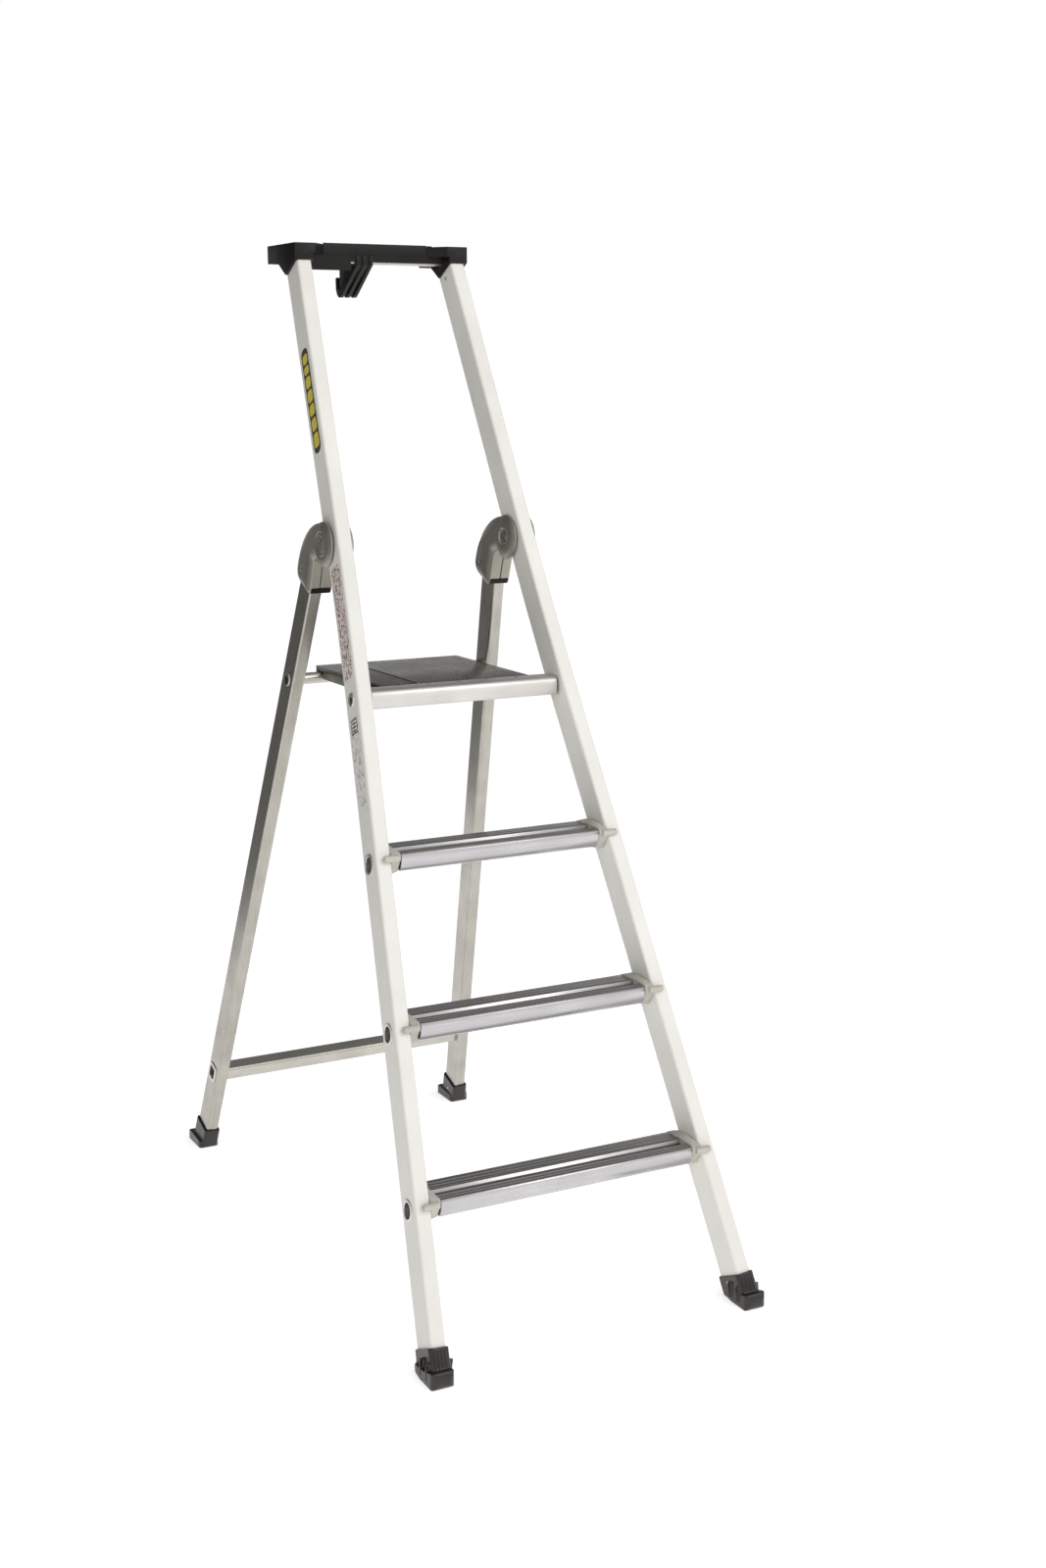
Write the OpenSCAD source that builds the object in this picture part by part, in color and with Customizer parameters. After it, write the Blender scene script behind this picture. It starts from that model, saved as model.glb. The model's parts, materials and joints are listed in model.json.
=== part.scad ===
// Folding platform step ladder: front frame with three treads and a tool tray,
// rear frame on two clevis hinges, platform that swings up between the stiles.
// X is the width, the climbing side faces -Y, Z is up. Origin: floor level, under
// the middle of the open ladder's footprint.

/* [Overall] */
// Vertical distance from one tread to the next, and to the platform
tread_rise = 235; // [195:1:285]
// Outer width of the front frame at the floor
base_w = 560; // [460:1:680]
// Height of the tool tray's rim above the floor
tray_rim_h = 1635; // [1500:1:1960]
// Lean of the front frame from the vertical
front_lean = 25.3; // [21:0.1:27]
// Lean of the rear frame from the vertical
rear_lean = 19.1; // [16:0.1:23]

/* [Front stiles] */
// Width of the stile tube across the ladder
stile_w = 25; // [20:0.5:30]
// Depth of the stile tube
stile_d = 53; // [44:0.5:64]
// Wall of the stile tube
stile_wall = 2; // [1.5:0.1:3]
// Inward slope of the stiles below the platform
flare_low = 4.8; // [4:0.1:5.8]
// Inward slope of the stiles above the platform
flare_top = 2.9; // [2.4:0.1:3.5]
// Distance along the stile from the platform pivot to the leg hinge
pivot_to_hinge = 266; // [250:1:320]

/* [Rear legs] */
// Width of the leg tube across the ladder
leg_w = 22.5; // [18:0.5:27]
// Depth of the leg tube
leg_d = 45; // [38:0.5:54]
// Wall of the leg tube
leg_wall = 1.8; // [1.4:0.1:2.4]
// Distance of the leg's middle behind the hinge pivot
leg_offset = 62; // [56:0.5:74]
// Outward slope of the rear legs
leg_flare = 4.67; // [3.9:0.01:5.6]
// Side of the square rear crossbar
crossbar = 25; // [20:0.5:30]
// Height of the crossbar along the leg
crossbar_up = 165; // [140:1:200]

/* [Treads] */
// Depth of a tread from nose to back edge
tread_depth = 80; // [66:1:96]
// Height of a tread's front face
tread_h = 27; // [24:0.5:32]
// Thickness of the end fitting between tread and stile
cap_len = 17; // [14:0.5:20]
// Outside diameter of the flared tread tube
ferrule_d = 28; // [23:0.5:31]
// Diameter of the peg in front of the stile
peg_d = 11; // [9:0.5:13]

/* [Platform] */
// Distance from the deck's edge to the stile beside it
deck_gap = 35.4; // [34:0.1:48]
// How far the deck reaches behind its pivot
deck_reach = 298; // [290:1:356]
// Height of the platform's front bar
bar_h = 29; // [24:0.5:35]
// Depth of the platform's front bar
bar_d = 40; // [33:0.5:46]
// Depth of the deck's folded edges
flange_h = 20; // [17:0.5:24]
// Thickness of the deck sheet
deck_t = 2; // [1.7:0.1:2.4]
// Diameter of the tube that carries the back of the platform
rest_d = 19; // [16:0.5:23]

/* [Tool tray] */
// Depth of the tray from front to back
tray_d = 124; // [112:1:148]
// Height of the tray's side wall
tray_h = 28; // [26:0.5:33]
// Wall of the tray
tray_wall = 3; // [2.5:0.1:3.6]
// Distance between the ribs of the bucket hook
hook_pitch = 12; // [10:0.5:14]
// How far the bucket hook reaches below the rim
hook_drop = 82; // [72:1:98]

/* [Feet and hinges] */
// Height of the front shoe along the stile
shoe_up = 58; // [48:1:70]
// Wall of the rubber shoes
shoe_wall = 3.5; // [3:0.1:4.2]
// Radius of the hinge discs
disc_r = 37; // [31:0.5:44]
// Radius of the hinge shell's curved back edge
shell_r = 113; // [100:1:130]
// How far the hinge shell reaches below the bolt
shell_drop = 98; // [90:1:110]
// Diameter of the hinge bolt
bolt_d = 10; // [8:0.5:12]

/* [Hidden] */
$fn = 64;
e = 0.01;
sb = sin(front_lean);
cb = cos(front_lean);
sa = sin(rear_lean);
ca = cos(rear_lean);
plat_z = 4 * tread_rise;
// platform pivot, hinge: along the stile (w) and across its depth (v)
piv_v = stile_d / 2;
piv_z = plat_z - bar_h / 2;
piv_w = (piv_z + piv_v * sb) / cb;
hin_v = stile_d - 7;
hin_w = piv_w + pivot_to_hinge;
// stile path: straight, two bend steps, straight
bend_w = piv_w + 18;
seg_w = [-60, bend_w, (bend_w + hin_w - 22) / 2, hin_w - 22, 9999];
seg_t = [flare_low, flare_low + (flare_top - flare_low) / 3,
         flare_low + (flare_top - flare_low) * 2 / 3, flare_top];
function seg_of(w) = w < seg_w[1] ? 0 : w < seg_w[2] ? 1 : w < seg_w[3] ? 2 : 3;
// middle line of the stile: X at the start of each segment
xc0 = base_w / 2 - stile_w / 2 / cos(flare_low) + 60 * tan(flare_low);
xc1 = xc0 - (seg_w[1] - seg_w[0]) * tan(seg_t[0]);
xc2 = xc1 - (seg_w[2] - seg_w[1]) * tan(seg_t[1]);
xc3 = xc2 - (seg_w[3] - seg_w[2]) * tan(seg_t[2]);
seg_x = [xc0, xc1, xc2, xc3];
function xc(w) = seg_x[seg_of(w)] - (w - seg_w[seg_of(w)]) * tan(seg_t[seg_of(w)]);
function xi(w) = xc(w) - stile_w / 2 / cos(seg_t[seg_of(w)]);
function xo(w) = xc(w) + stile_w / 2 / cos(seg_t[seg_of(w)]);
// world position (y, z) of a point in the front frame and in the rear frame
function fy(v, w) = v * cb + w * sb;
function fz(v, w) = -v * sb + w * cb;
hy = fy(hin_v, hin_w);
hz = fz(hin_v, hin_w);
function ry(v, w) = hy + v * ca - w * sa;
function rz(v, w) = hz + v * sa + w * ca;
function leg_floor(v) = -(hz + v * sa) / ca;
piv_y = fy(piv_v, piv_w);
// leg path, rear frame, w counted from the hinge pivot
leg_x0 = xc(hin_w) - 3.1;
function lx(w) = leg_x0 - w * tan(leg_flare);
rest_r = rest_d / 2;
saddle_t = 6;
rest_z = plat_z - deck_t - saddle_t - 0.4 - rest_r;
rest_w = (rest_z - hz - leg_offset * sa) / ca;
rest_y = ry(leg_offset, rest_w);
bar_w = leg_floor(leg_offset) + crossbar_up;
toe = 6;
heel = 19;
y_front = -toe;
y_rear = ry(leg_offset + leg_d / 2, leg_floor(leg_offset + leg_d / 2)) + heel;
y_mid = (y_front + y_rear) / 2;
stile_top = (tray_rim_h - 8) / cb;
stile_low = (stile_d * sb + 4) / cb;
hook_x = -20;
plate_in = xi(hin_w) - 2.9;
plate_out = xo(hin_w) + 4.3;
shell_t = 8;

// ---------- frames of reference ----------
module world() { translate([0, -y_mid, 0]) children(); }
module front() { world() rotate([-front_lean, 0, 0]) children(); }
module rear() { world() translate([0, hy, hz]) rotate([rear_lean, 0, 0]) children(); }
module side(s) { mirror([s < 0 ? 1 : 0, 0, 0]) children(); }
module both() { for (s = [-1, 1]) side(s) children(); }
// stile-local: x = 0 on the stile's middle line, turned with its slope
module at_stile(w) { translate([xc(w), 0, w]) rotate([0, -seg_t[seg_of(w)], 0]) children(); }
// leg-local: x = 0, y = 0 on the leg's middle line
module at_leg(w) { translate([lx(w), leg_offset, w]) rotate([0, -leg_flare, 0]) children(); }
// a (y, z) outline swept along X
module xprism(x0, x1) {
  translate([x0, 0, 0]) rotate([90, 0, 90]) linear_extrude(x1 - x0) children();
}
module xrod(x0, x1, r) { translate([x0, 0, 0]) rotate([0, 90, 0]) cylinder(h = x1 - x0, r = r); }
module rrect(w, d, r) {
  square([w - 2 * r, d], center = true);
  square([w, d - 2 * r], center = true);
  for (i = [-1, 1], j = [-1, 1]) translate([i * (w / 2 - r), j * (d / 2 - r)]) circle(r = r);
}
module tube2d(w, d, wall, r) {
  difference() { rrect(w, d, r); rrect(w - 2 * wall, d - 2 * wall, max(r - wall, 0.6)); }
}

// ---------- front stiles ----------
// one straight run of the stile, cut on the bisecting planes of its bends
module stile_run(i, w0, w1, hollow, grow = 0) {
  lo = i == 0 ? seg_t[0] : (seg_t[i - 1] + seg_t[i]) / 2;
  hi = i == 3 ? seg_t[3] : (seg_t[i] + seg_t[i + 1]) / 2;
  difference() {
    translate([xc(w0), stile_d / 2, w0]) rotate([0, -seg_t[i], 0]) translate([0, 0, -30])
      linear_extrude(w1 - w0 + 62)
        if (hollow) tube2d(stile_w, stile_d, stile_wall, 4);
        else rrect(stile_w + 2 * grow, stile_d + 2 * grow, 4 + grow);
    translate([xc(w0), 0, w0]) rotate([0, -lo, 0])
      translate([-100, -50, -100]) cube([200, 200, 100]);
    translate([xc(w1), 0, w1]) rotate([0, -hi, 0])
      translate([-100, -50, 0]) cube([200, 200, 100]);
  }
}
module stile_body(w_low, w_high, hollow, grow = 0) {
  stile_run(0, w_low, seg_w[1], hollow, grow);
  stile_run(1, seg_w[1], seg_w[2], hollow, grow);
  stile_run(2, seg_w[2], seg_w[3], hollow, grow);
  stile_run(3, seg_w[3], w_high, hollow, grow);
}
function tread_w(k) = (k * tread_rise - 3 - (peg_d / 2 + 0.1) * sb) / cb;
ferrule_v = stile_d / 2 + 2;
module tread_hole(k, r) {
  at_stile(tread_w(k)) translate([-60, ferrule_v, 0]) rotate([0, 90, 0]) cylinder(h = 90, r = r);
}
module stile(s) {
  color("white") front() side(s) difference() {
    stile_body(stile_low, stile_top, true);
    for (k = [1:3]) tread_hole(k, ferrule_d / 2);
    translate([0, piv_v, piv_w]) xrod(xi(piv_w) - 20, xo(piv_w) + 20, 8.03);
    translate([0, hin_v, hin_w]) xrod(xi(hin_w) - 20, xo(hin_w) + 20, bolt_d / 2 + 0.02);
  }
}

// ---------- treads ----------
// outline in (depth, height), 0 = stile's front face, tread's nominal top
td = tread_depth;
module tread_outline() {
  polygon([[1.5, -tread_h + 2], [-1, -tread_h * 0.75], [-3, -tread_h * 0.5], [-4, -tread_h * 0.25],
           [-4.2, -3], [-3.6, -0.5], [-2, 1.4], [0.5, 2.4], [3, 2.4], [4.5, 1], [6, 2.4],
           [td * 0.13, 2.6], [td * 0.15, 1], [td * 0.17, 2.6], [td * 0.2, 2.2], [td * 0.23, -1.6],
           [td * 0.33, -2.2], [td * 0.4, -1.6], [td * 0.43, 3], [td * 0.47, 3.4], [td * 0.49, 2],
           [td * 0.51, 3.2], [td * 0.59, 3], [td * 0.61, 1.6], [td * 0.63, 3], [td * 0.72, 2.8],
           [td * 0.74, 1.4], [td * 0.76, 2.8], [td * 0.86, 2.4], [td * 0.88, 1], [td * 0.9, 2],
           [td * 0.93, 0.8], [td * 0.95, -2], [td * 0.95, -9], [td * 0.9, -11], [td * 0.55, -tread_h + 3],
           [td * 0.5, -tread_h + 1], [4, -tread_h]]);
}
module tread_hollow() {
  polygon([[4.5, -tread_h + 2.5], [0.5, -8], [-0.5, -4], [2.5, -2], [td * 0.2, -2], [td * 0.22, -4.6],
           [td * 0.3, -5], [td * 0.3, -tread_h + 2.5]]);
  polygon([[td * 0.34, -5], [td * 0.41, -4.4], [td * 0.45, -1], [td * 0.9, -1.6], [td * 0.92, -4],
           [td * 0.92, -8], [td * 0.88, -9.4], [td * 0.53, -tread_h + 5], [td * 0.5, -tread_h + 3.4],
           [td * 0.34, -tread_h + 2.5]]);
}
function tread_y(k) = k * tread_rise * sb / cb;
function tread_x(k) = xi(tread_w(k)) - cap_len;
module tread(k) {
  color("silver") world() translate([0, tread_y(k), k * tread_rise]) xprism(-tread_x(k), tread_x(k))
    difference() { tread_outline(); tread_hollow(); }
}
// end fitting: grows from the tread's outline into a domed flange on the stile
module cap_inner2d() {
  hull() {
    translate([1, -2]) circle(r = 6, $fn = 32);
    translate([td * 0.45, -2]) circle(r = 7.5, $fn = 32);
    translate([td * 0.9, -3]) circle(r = 5.5, $fn = 32);
    translate([12, -tread_h + 5]) circle(r = 7, $fn = 32);
  }
}
module cap_outer2d() {
  hull() {
    translate([0, -4]) circle(r = 7.5, $fn = 32);
    translate([td * 0.22, -2]) circle(r = 10.5, $fn = 32);
    translate([td * 0.45, -2]) circle(r = 13, $fn = 32);
    translate([td * 0.7, -2]) circle(r = 10, $fn = 32);
    translate([td * 0.92, -4]) circle(r = 6, $fn = 32);
    translate([18, -tread_h + 3]) circle(r = 10, $fn = 32);
  }
}
module tread_cap(k) {
  x0 = tread_x(k);
  difference() {
    world() translate([0, tread_y(k), k * tread_rise]) hull() {
      xprism(x0 + 1.2, x0 + 2.2) cap_inner2d();
      xprism(x0 + cap_len - 6, x0 + cap_len + 6) cap_outer2d();
    }
    front() at_stile(tread_w(k)) translate([-stile_w / 2, -60, -120]) cube([80, 240, 240]);
    front() tread_hole(k, ferrule_d / 2 + 0.15);
  }
  world() translate([0, tread_y(k), k * tread_rise]) xprism(x0, x0 + 2)
    intersection() { tread_outline(); translate([td * 0.2, -tread_h + 1]) square([td * 0.25, tread_h - 3]); }
  front() translate([0, -peg_d / 2 - 0.1, tread_w(k)]) {
    xrod(x0 + 5, xi(tread_w(k)) + 12.5, peg_d / 2);
    translate([xi(tread_w(k)) + 12.5, 0, 0]) rotate([0, 90, 0])
      cylinder(h = 1.5, r1 = peg_d / 2, r2 = peg_d / 2 - 1.5);
  }
}
module tread_caps(s) { color("lightgray") side(s) for (k = [1:3]) tread_cap(k); }
// a tube end that is rolled over against the outside of a wall, axis +x, wall face at x = 0
module ferrule(r, wall, inset, lip) {
  rotate([0, 90, 0]) rotate_extrude() polygon([[r - wall, -inset], [r, -inset], [r, 0],
    [r + lip, 0], [r + lip, 0.8], [r + lip - 0.8, 1.6], [r - wall + 0.8, 1.6], [r - wall, 0.8]]);
}
module tread_ferrules() {
  color("silver") front() both() for (k = [1:3]) at_stile(tread_w(k))
    translate([stile_w / 2, ferrule_v, 0]) ferrule(ferrule_d / 2, 1.8, stile_w + cap_len - 5, 3);
}

// ---------- tool tray ----------
ty_f = (tray_rim_h - tray_h + 2) * sb / cb - 3;
ty_r = ty_f + tray_d;
ty_m = ty_f + 30;
tz = tray_rim_h;
tz_low = tz - tray_h;
tx = xo(stile_top - 40) + 3.8;
tx_in = xi(stile_top - 40) - 4;
floor_z = tz_low + 12;
module tray_plan(g) {
  polygon([[tx - g, ty_f + g], [tx_in - 4 + g * 0.4, ty_f + g], [tx_in - 30 + g * 0.4, ty_m + g],
           [-tx_in + 30 - g * 0.4, ty_m + g], [-tx_in + 4 - g * 0.4, ty_f + g], [-tx + g, ty_f + g],
           [-tx + g, ty_r - g], [tx - g, ty_r - g]]);
}
module gusset2d() {
  tip_y = fy(stile_d, stile_top) - 17 * sb - 8;
  polygon([[ty_f, floor_z + 4], [ty_f, tz_low + 2], [tip_y, tz_low - 22], [tip_y + 30, tz_low - 4],
           [ty_r, tz_low - 1], [ty_r, floor_z + 4]]);
}
module tool_tray() {
  color("black") difference() {
    world() {
      translate([0, 0, floor_z]) linear_extrude(tz - floor_z) tray_plan(0);
      translate([-tx_in + 30, ty_m, floor_z]) cube([2 * tx_in - 60, tray_wall, tz - floor_z + 2.5]);
      // skirt under the recessed front wall
      translate([-tx_in, ty_m + 0.6, tz_low + 1]) cube([2 * tx_in, 3, floor_z - tz_low]);
      // apron on the hook side
      translate([-tx_in, ty_m + 0.6, tz_low - 13]) cube([tx_in + hook_x - hook_pitch * 1.5 - 6, 3, 16]);
      both() {
        xprism(tx_in, tx) gusset2d();
      }
      // upright tool peg
      translate([tx - 27, ty_r - 12, tz - e]) cube([18, 12, 8]);
      // low fence with slots along the back
      for (i = [0:5]) translate([tx_in - 128 + i * 12, ty_r - 6, tz - e]) cube([6, 6, 1.6]);
    }
    // hollow of the tray: front shelf and deeper rear trough
    world() difference() {
      translate([0, 0, floor_z + tray_wall]) linear_extrude(60) tray_plan(tray_wall);
      both() translate([tx_in - 4, ty_f - 1, floor_z]) cube([40, stile_d / cb + 16.4, 22]);
      translate([tx_in, ty_f + 60, floor_z]) cube([60, 100, 0.1]);
    }
    world() translate([0, ty_r + 1, tz_low + 1 - 40]) both()
      translate([tx_in + tray_wall, -58, 40 + 2]) cube([tx - tx_in - 2 * tray_wall, 57 - tray_wall, 60]);
    // sockets for the stiles and the rail, cut clear of them
    front() both() stile_run(3, seg_w[3] + 60, stile_top + 0.1, false, 0.05);
    rail_body(0.05, true);
  }
}
rail_y = ty_m + 4.2;
rail_z = tz_low - 2;
module rail_body(g, solid) {
  world() translate([0, rail_y + 12, rail_z + 7]) rotate([0, 90, 0]) translate([0, 0, -tx_in - 20])
    linear_extrude(2 * tx_in + 40) if (solid) rrect(14 + 2 * g, 24 + 2 * g, 2.5);
    else tube2d(14, 24, 1.6, 2.5);
}
module top_rail() {
  color("silver") difference() {
    rail_body(0, false);
    front() both() at_stile(stile_top - 30) translate([-stile_w / 2, -60, -120]) cube([80, 240, 240]);
  }
}
hook_bot = tz - hook_drop;
module hook2d(g) {
  hb = ty_m + 74;
  difference() {
    polygon([[ty_m - 1 + g, floor_z], [hb - g, floor_z], [hb - g, hook_bot + 24],
             [hb - g, hook_bot + 15], [hb + 3, hook_bot + 12],
             [hb + 8, hook_bot + 15], [hb + 9, hook_bot + 33], [hb + 15, hook_bot + 33.5],
             [hb + 18.5, hook_bot + 31], [hb + 17.5, hook_bot + 14], [hb + 13, hook_bot + 5],
             [hb + 6, hook_bot + g * 1.6], [hb - 2, hook_bot + g * 1.6], [hb - 9 + g, hook_bot + 4 + g * 2],
             [ty_m - 1 + g, tz_low - 4]]);
  }
}
module bucket_hook() {
  color("black") difference() {
    world() {
      for (i = [-1:1]) xprism(hook_x + i * hook_pitch - 2.8, hook_x + i * hook_pitch + 2.8) hook2d(0);
      xprism(hook_x - hook_pitch, hook_x + hook_pitch) hook2d(3);
    }
    rail_body(0.3, true);
    world() translate([-60, ty_m + 0.5, tz_low + 1 - e]) cube([90, 3.2, 60]);
  }
}
module tray_screws() {
  color("silver") front() both() at_stile(stile_top - 22)
    translate([-stile_w / 2, stile_d * 0.55, -12]) rotate([0, -90, 0]) cylinder(h = 1.6, r = 3.2);
}

// ---------- front feet ----------
module front_foot(s) {
  x0 = xi(0) - 6;
  x1 = xo(0) + 6;
  color("black") side(s) difference() {
    union() {
      intersection() {
        front() at_stile(shoe_up) translate([0, stile_d / 2, -110])
          linear_extrude(110) rrect(stile_w + 2 * shoe_wall, stile_d + 2 * shoe_wall, 6);
        world() translate([0, -100, 2]) cube([999, 400, 200]);
      }
      world() intersection() {
        xprism(x0, x1) polygon([[1, 0], [stile_d * 0.8, 0], [stile_d * 1.18, 6], [stile_d * 1.22, 10],
          [stile_d * 1.2, 16], [stile_d * 1.05, 18], [stile_d * 0.5, 20], [4, 26], [1, 26.5],
          [-2, 25], [-4.5, 19], [-toe, 12], [-toe + 1, 6], [-toe + 3, 2.5]]);
        translate([(x0 + x1) / 2, stile_d * 0.62 - toe / 2, 0]) linear_extrude(60)
          rrect(x1 - x0, stile_d * 1.24 + toe, 11);
      }
      // side ribs that stiffen the flare
      world() for (y = [18, 38]) for (m = [0, 1])
        translate([m ? x1 - 1 : x0 + 1, y, 8]) rotate([0, m ? -3 : -8, 0]) translate([-5, 0, 0])
          linear_extrude(26) square([8, 3]);
    }
    front() stile_run(0, stile_low, seg_w[1], false, 0.03);
    world() translate([0, -100, -50]) cube([999, 400, 50]);
  }
}
module front_foot_rivets() {
  color("silver") front() both() at_stile(shoe_up - 11)
    translate([-stile_w / 2 - shoe_wall, stile_d * 0.55, 0]) rotate([0, -90, 0])
      cylinder(h = 1.5, r1 = 4, r2 = 3);
}

// ---------- pivots fixed to the stiles ----------
module platform_pivots() {
  color("silver") front() both() translate([0, piv_v, piv_w]) difference() {
    union() {
      xrod(xi(piv_w) - 14, xo(piv_w), 8);
      translate([-(0), 0, 0]) intersection() {
        translate([xc(piv_w), 0, 0]) rotate([0, -seg_t[seg_of(piv_w)], 0])
          translate([stile_w / 2, 0, 0]) rotate([0, 90, 0]) cylinder(h = 1.6, r1 = 11.5, r2 = 10.6);
      }
    }
    xrod(xi(piv_w) - 30, xo(piv_w) + 20, 6);
  }
}
module hinge_bolts() {
  color("silver") world() both() translate([0, hy, hz]) {
    xrod(plate_in - shell_t + 2.6, plate_out + shell_t - 2.6, bolt_d / 2);
    xrod(plate_out + shell_t - 2.6, plate_out + shell_t - 0.4, bolt_d / 2 + 2.6);
    xrod(plate_in - shell_t + 0.4, plate_in - shell_t + 2.6, bolt_d / 2 + 2.6);
  }
}
module labels() {
  above = stile_top - hin_w;
  color("gold") front() side(-1) {
    at_stile(hin_w + above * 0.481) translate([stile_w / 2 + 0.02, stile_d / 2, 0]) rotate([90, 0, 90])
      linear_extrude(0.25) rrect(stile_d * 0.5, above * 0.361, stile_d * 0.2);
    at_stile(bend_w - 142) translate([stile_w / 2 + 0.02, stile_d / 2, 0]) rotate([90, 0, 90])
      linear_extrude(0.25) rrect(stile_d * 0.66, 150, 3);
  }
}

// ---------- rear frame ----------
leg_up = -34;
function leg_low() = leg_floor(leg_offset) + 14;
module leg_body(hollow, grow = 0) {
  at_leg(leg_up) mirror([0, 0, 1]) linear_extrude((leg_up - leg_low()) / cos(leg_flare))
    if (hollow) tube2d(leg_w, leg_d, leg_wall, 4);
    else rrect(leg_w + 2 * grow, leg_d + 2 * grow, 4 + grow);
}
module leg_axis(w) { at_leg(w) rotate([0, 90, 0]) children(); }
module leg(s) {
  color("silver") rear() side(s) difference() {
    leg_body(true);
    leg_axis(bar_w) translate([0, 0, -40]) linear_extrude(80) rrect(crossbar, crossbar, 4);
    translate([0, leg_offset, rest_w]) xrod(lx(rest_w) - 40, lx(rest_w) + 40, rest_r);
  }
}
module crossbar_part() {
  color("silver") rear() difference() {
    translate([-lx(bar_w) - 10, leg_offset, bar_w]) rotate([0, 90, 0]) linear_extrude(2 * lx(bar_w) + 20)
      difference() {
        tube2d(crossbar, crossbar, 1.6, 1.6);
        translate([-crossbar / 2 + 2.2, -crossbar / 2 - 1]) square([2, 2]);
      }
    both() at_leg(bar_w) translate([-leg_w / 2, -60, -60]) cube([80, 120, 120]);
  }
}
module crossbar_ferrules() {
  color("silver") rear() both() at_leg(bar_w) rotate([0, 90, 0]) difference() {
    union() {
      translate([0, 0, leg_w / 2]) linear_extrude(1.6) rrect(crossbar + 8, crossbar + 8, 8);
      translate([0, 0, -leg_w / 2]) linear_extrude(leg_w + 1) rrect(crossbar, crossbar, 4);
    }
    translate([0, 0, -leg_w]) linear_extrude(3 * leg_w) rrect(crossbar - 3.6, crossbar - 3.6, 4);
  }
}
module rest_tube() {
  color("silver") rear() {
    translate([0, leg_offset, rest_w]) difference() {
      union() {
        xrod(-lx(rest_w) - leg_w / 2 + 2, lx(rest_w) + leg_w / 2 - 2, rest_r);
        both() {
          xrod(lx(rest_w), lx(rest_w) + leg_w / 2 + 1.2, rest_r);
          translate([lx(rest_w), 0, 0]) rotate([0, -leg_flare, 0]) translate([leg_w / 2, 0, 0])
            rotate([0, 90, 0]) cylinder(h = 1.6, r1 = rest_r + 2.6, r2 = rest_r + 1.8);
        }
      }
      xrod(-400, 400, rest_r - 1.6);
    }
  }
}
// hinge shells: outline in (v, w) about the pivot, drawn in by g
shell_front = leg_offset - leg_d / 2 - 8;
back_v = leg_offset + leg_d / 2 + 8.5 - shell_r;
back_w = -shell_drop * 0.78;
function arc_at(c, r, t) = [c[0] + r * cos(t), c[1] + r * sin(t)];
module shell2d(g = 0) {
  polygon(concat(
    [for (t = [-2:4:66]) arc_at([back_v, back_w], shell_r - g, t)],
    [for (t = [56:6:302]) arc_at([0, 0], disc_r - g, t)],
    [[shell_front + g, -disc_r - 4]],
    [for (t = [180:18:270]) arc_at([shell_front + 6 + g, 6 + g - shell_drop - 4], 6, t)],
    [for (t = [270:8:350]) arc_at([leg_offset + 10.5, 20 - shell_drop], 20 - g, t)]));
}
module sleeve2d() {
  intersection() {
    shell2d();
    translate([shell_front - 1, -22 - shell_drop]) square([leg_d + 40, shell_drop - 6]);
  }
}
// domed plate built up in steps from the face at x, growing along d
module plate(x, d) {
  steps = [[0, 0], [2.6, 3], [4.6, 7], [6.4, 13], [shell_t, 99]];
  for (i = [0:3]) {
    t0 = steps[i][0] - (i == 0 ? 0 : e);
    t1 = steps[i + 1][0];
    xprism(d > 0 ? x + t0 : x - t1, d > 0 ? x + t1 : x - t0) shell2d(steps[i][1]);
  }
}
module hinge_shell(s, outer) {
  mid = lx(-60);
  color("gray") rear() side(s) difference() {
    union() {
      plate(outer ? plate_out : plate_in, outer ? 1 : -1);
      if (outer) xprism(mid + 0.5, plate_out + e) sleeve2d();
      else xprism(plate_in - e, mid - 0.5) sleeve2d();
    }
    leg_body(false, 0.02);
    // bolt bore and the pocket for its head
    xrod(plate_in - 30, plate_out + 30, bolt_d / 2 + 0.05);
    if (outer) xrod(plate_out + shell_t - 3.2, plate_out + 40, bolt_d / 2 + 3.4);
    else xrod(plate_in - 40, plate_in - shell_t + 3.2, bolt_d / 2 + 3.4);
    // room for the black plug under the sleeve
    plug_space(0);
  }
}
module plug_space(g) {
  translate([plate_in - 1 + g, leg_offset - leg_d / 2 - 12, -shell_drop - 5])
    cube([plate_out - plate_in + 2 - 2 * g, 13, 12]);
}
module hinge_plugs() {
  color("black") rear() both() difference() {
    intersection() {
      plug_space(0.02);
      xprism(plate_in - 20, plate_out + 20) shell2d();
    }
    leg_body(false, 0.02);
  }
}
module hinge_screws() {
  color("silver") rear() both() translate([0, leg_offset + 4, -72]) {
    xrod(plate_out + shell_t, plate_out + shell_t + 0.9, 3.4);
    xrod(plate_in - shell_t - 0.9, plate_in - shell_t, 3.4);
  }
}
// ---------- rear feet ----------
module rear_foot(s) {
  f = leg_floor(leg_offset);
  xf = lx(f);
  yf = ry(leg_offset - leg_d / 2, leg_floor(leg_offset - leg_d / 2));
  w = leg_w / 2 + shoe_wall;
  color("black") side(s) difference() {
    union() {
      intersection() {
        rear() at_leg(f + 47) translate([0, 0, -110]) linear_extrude(110)
          rrect(2 * w, leg_d + 2 * shoe_wall, 5);
        world() translate([0, 0, 2]) cube([999, 3000, 200]);
      }
      world() intersection() {
        xprism(xf - w - 4, xf + w + 4) polygon([[yf - 5, 3], [yf - 2, 0], [y_rear - 4.6, 0],
          [y_rear - 3, 2], [y_rear, 7], [y_rear - 2, 15], [y_rear - 12, 20], [yf, 15], [yf - 5, 12]]);
        translate([xf, (yf - 5 + y_rear) / 2, 0]) linear_extrude(60)
          rrect(2 * w + 8, y_rear - yf + 5, 10);
      }
    }
    rear() leg_body(false, 0.03);
    world() translate([0, 0, -50]) cube([999, 3000, 50]);
  }
}
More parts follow.
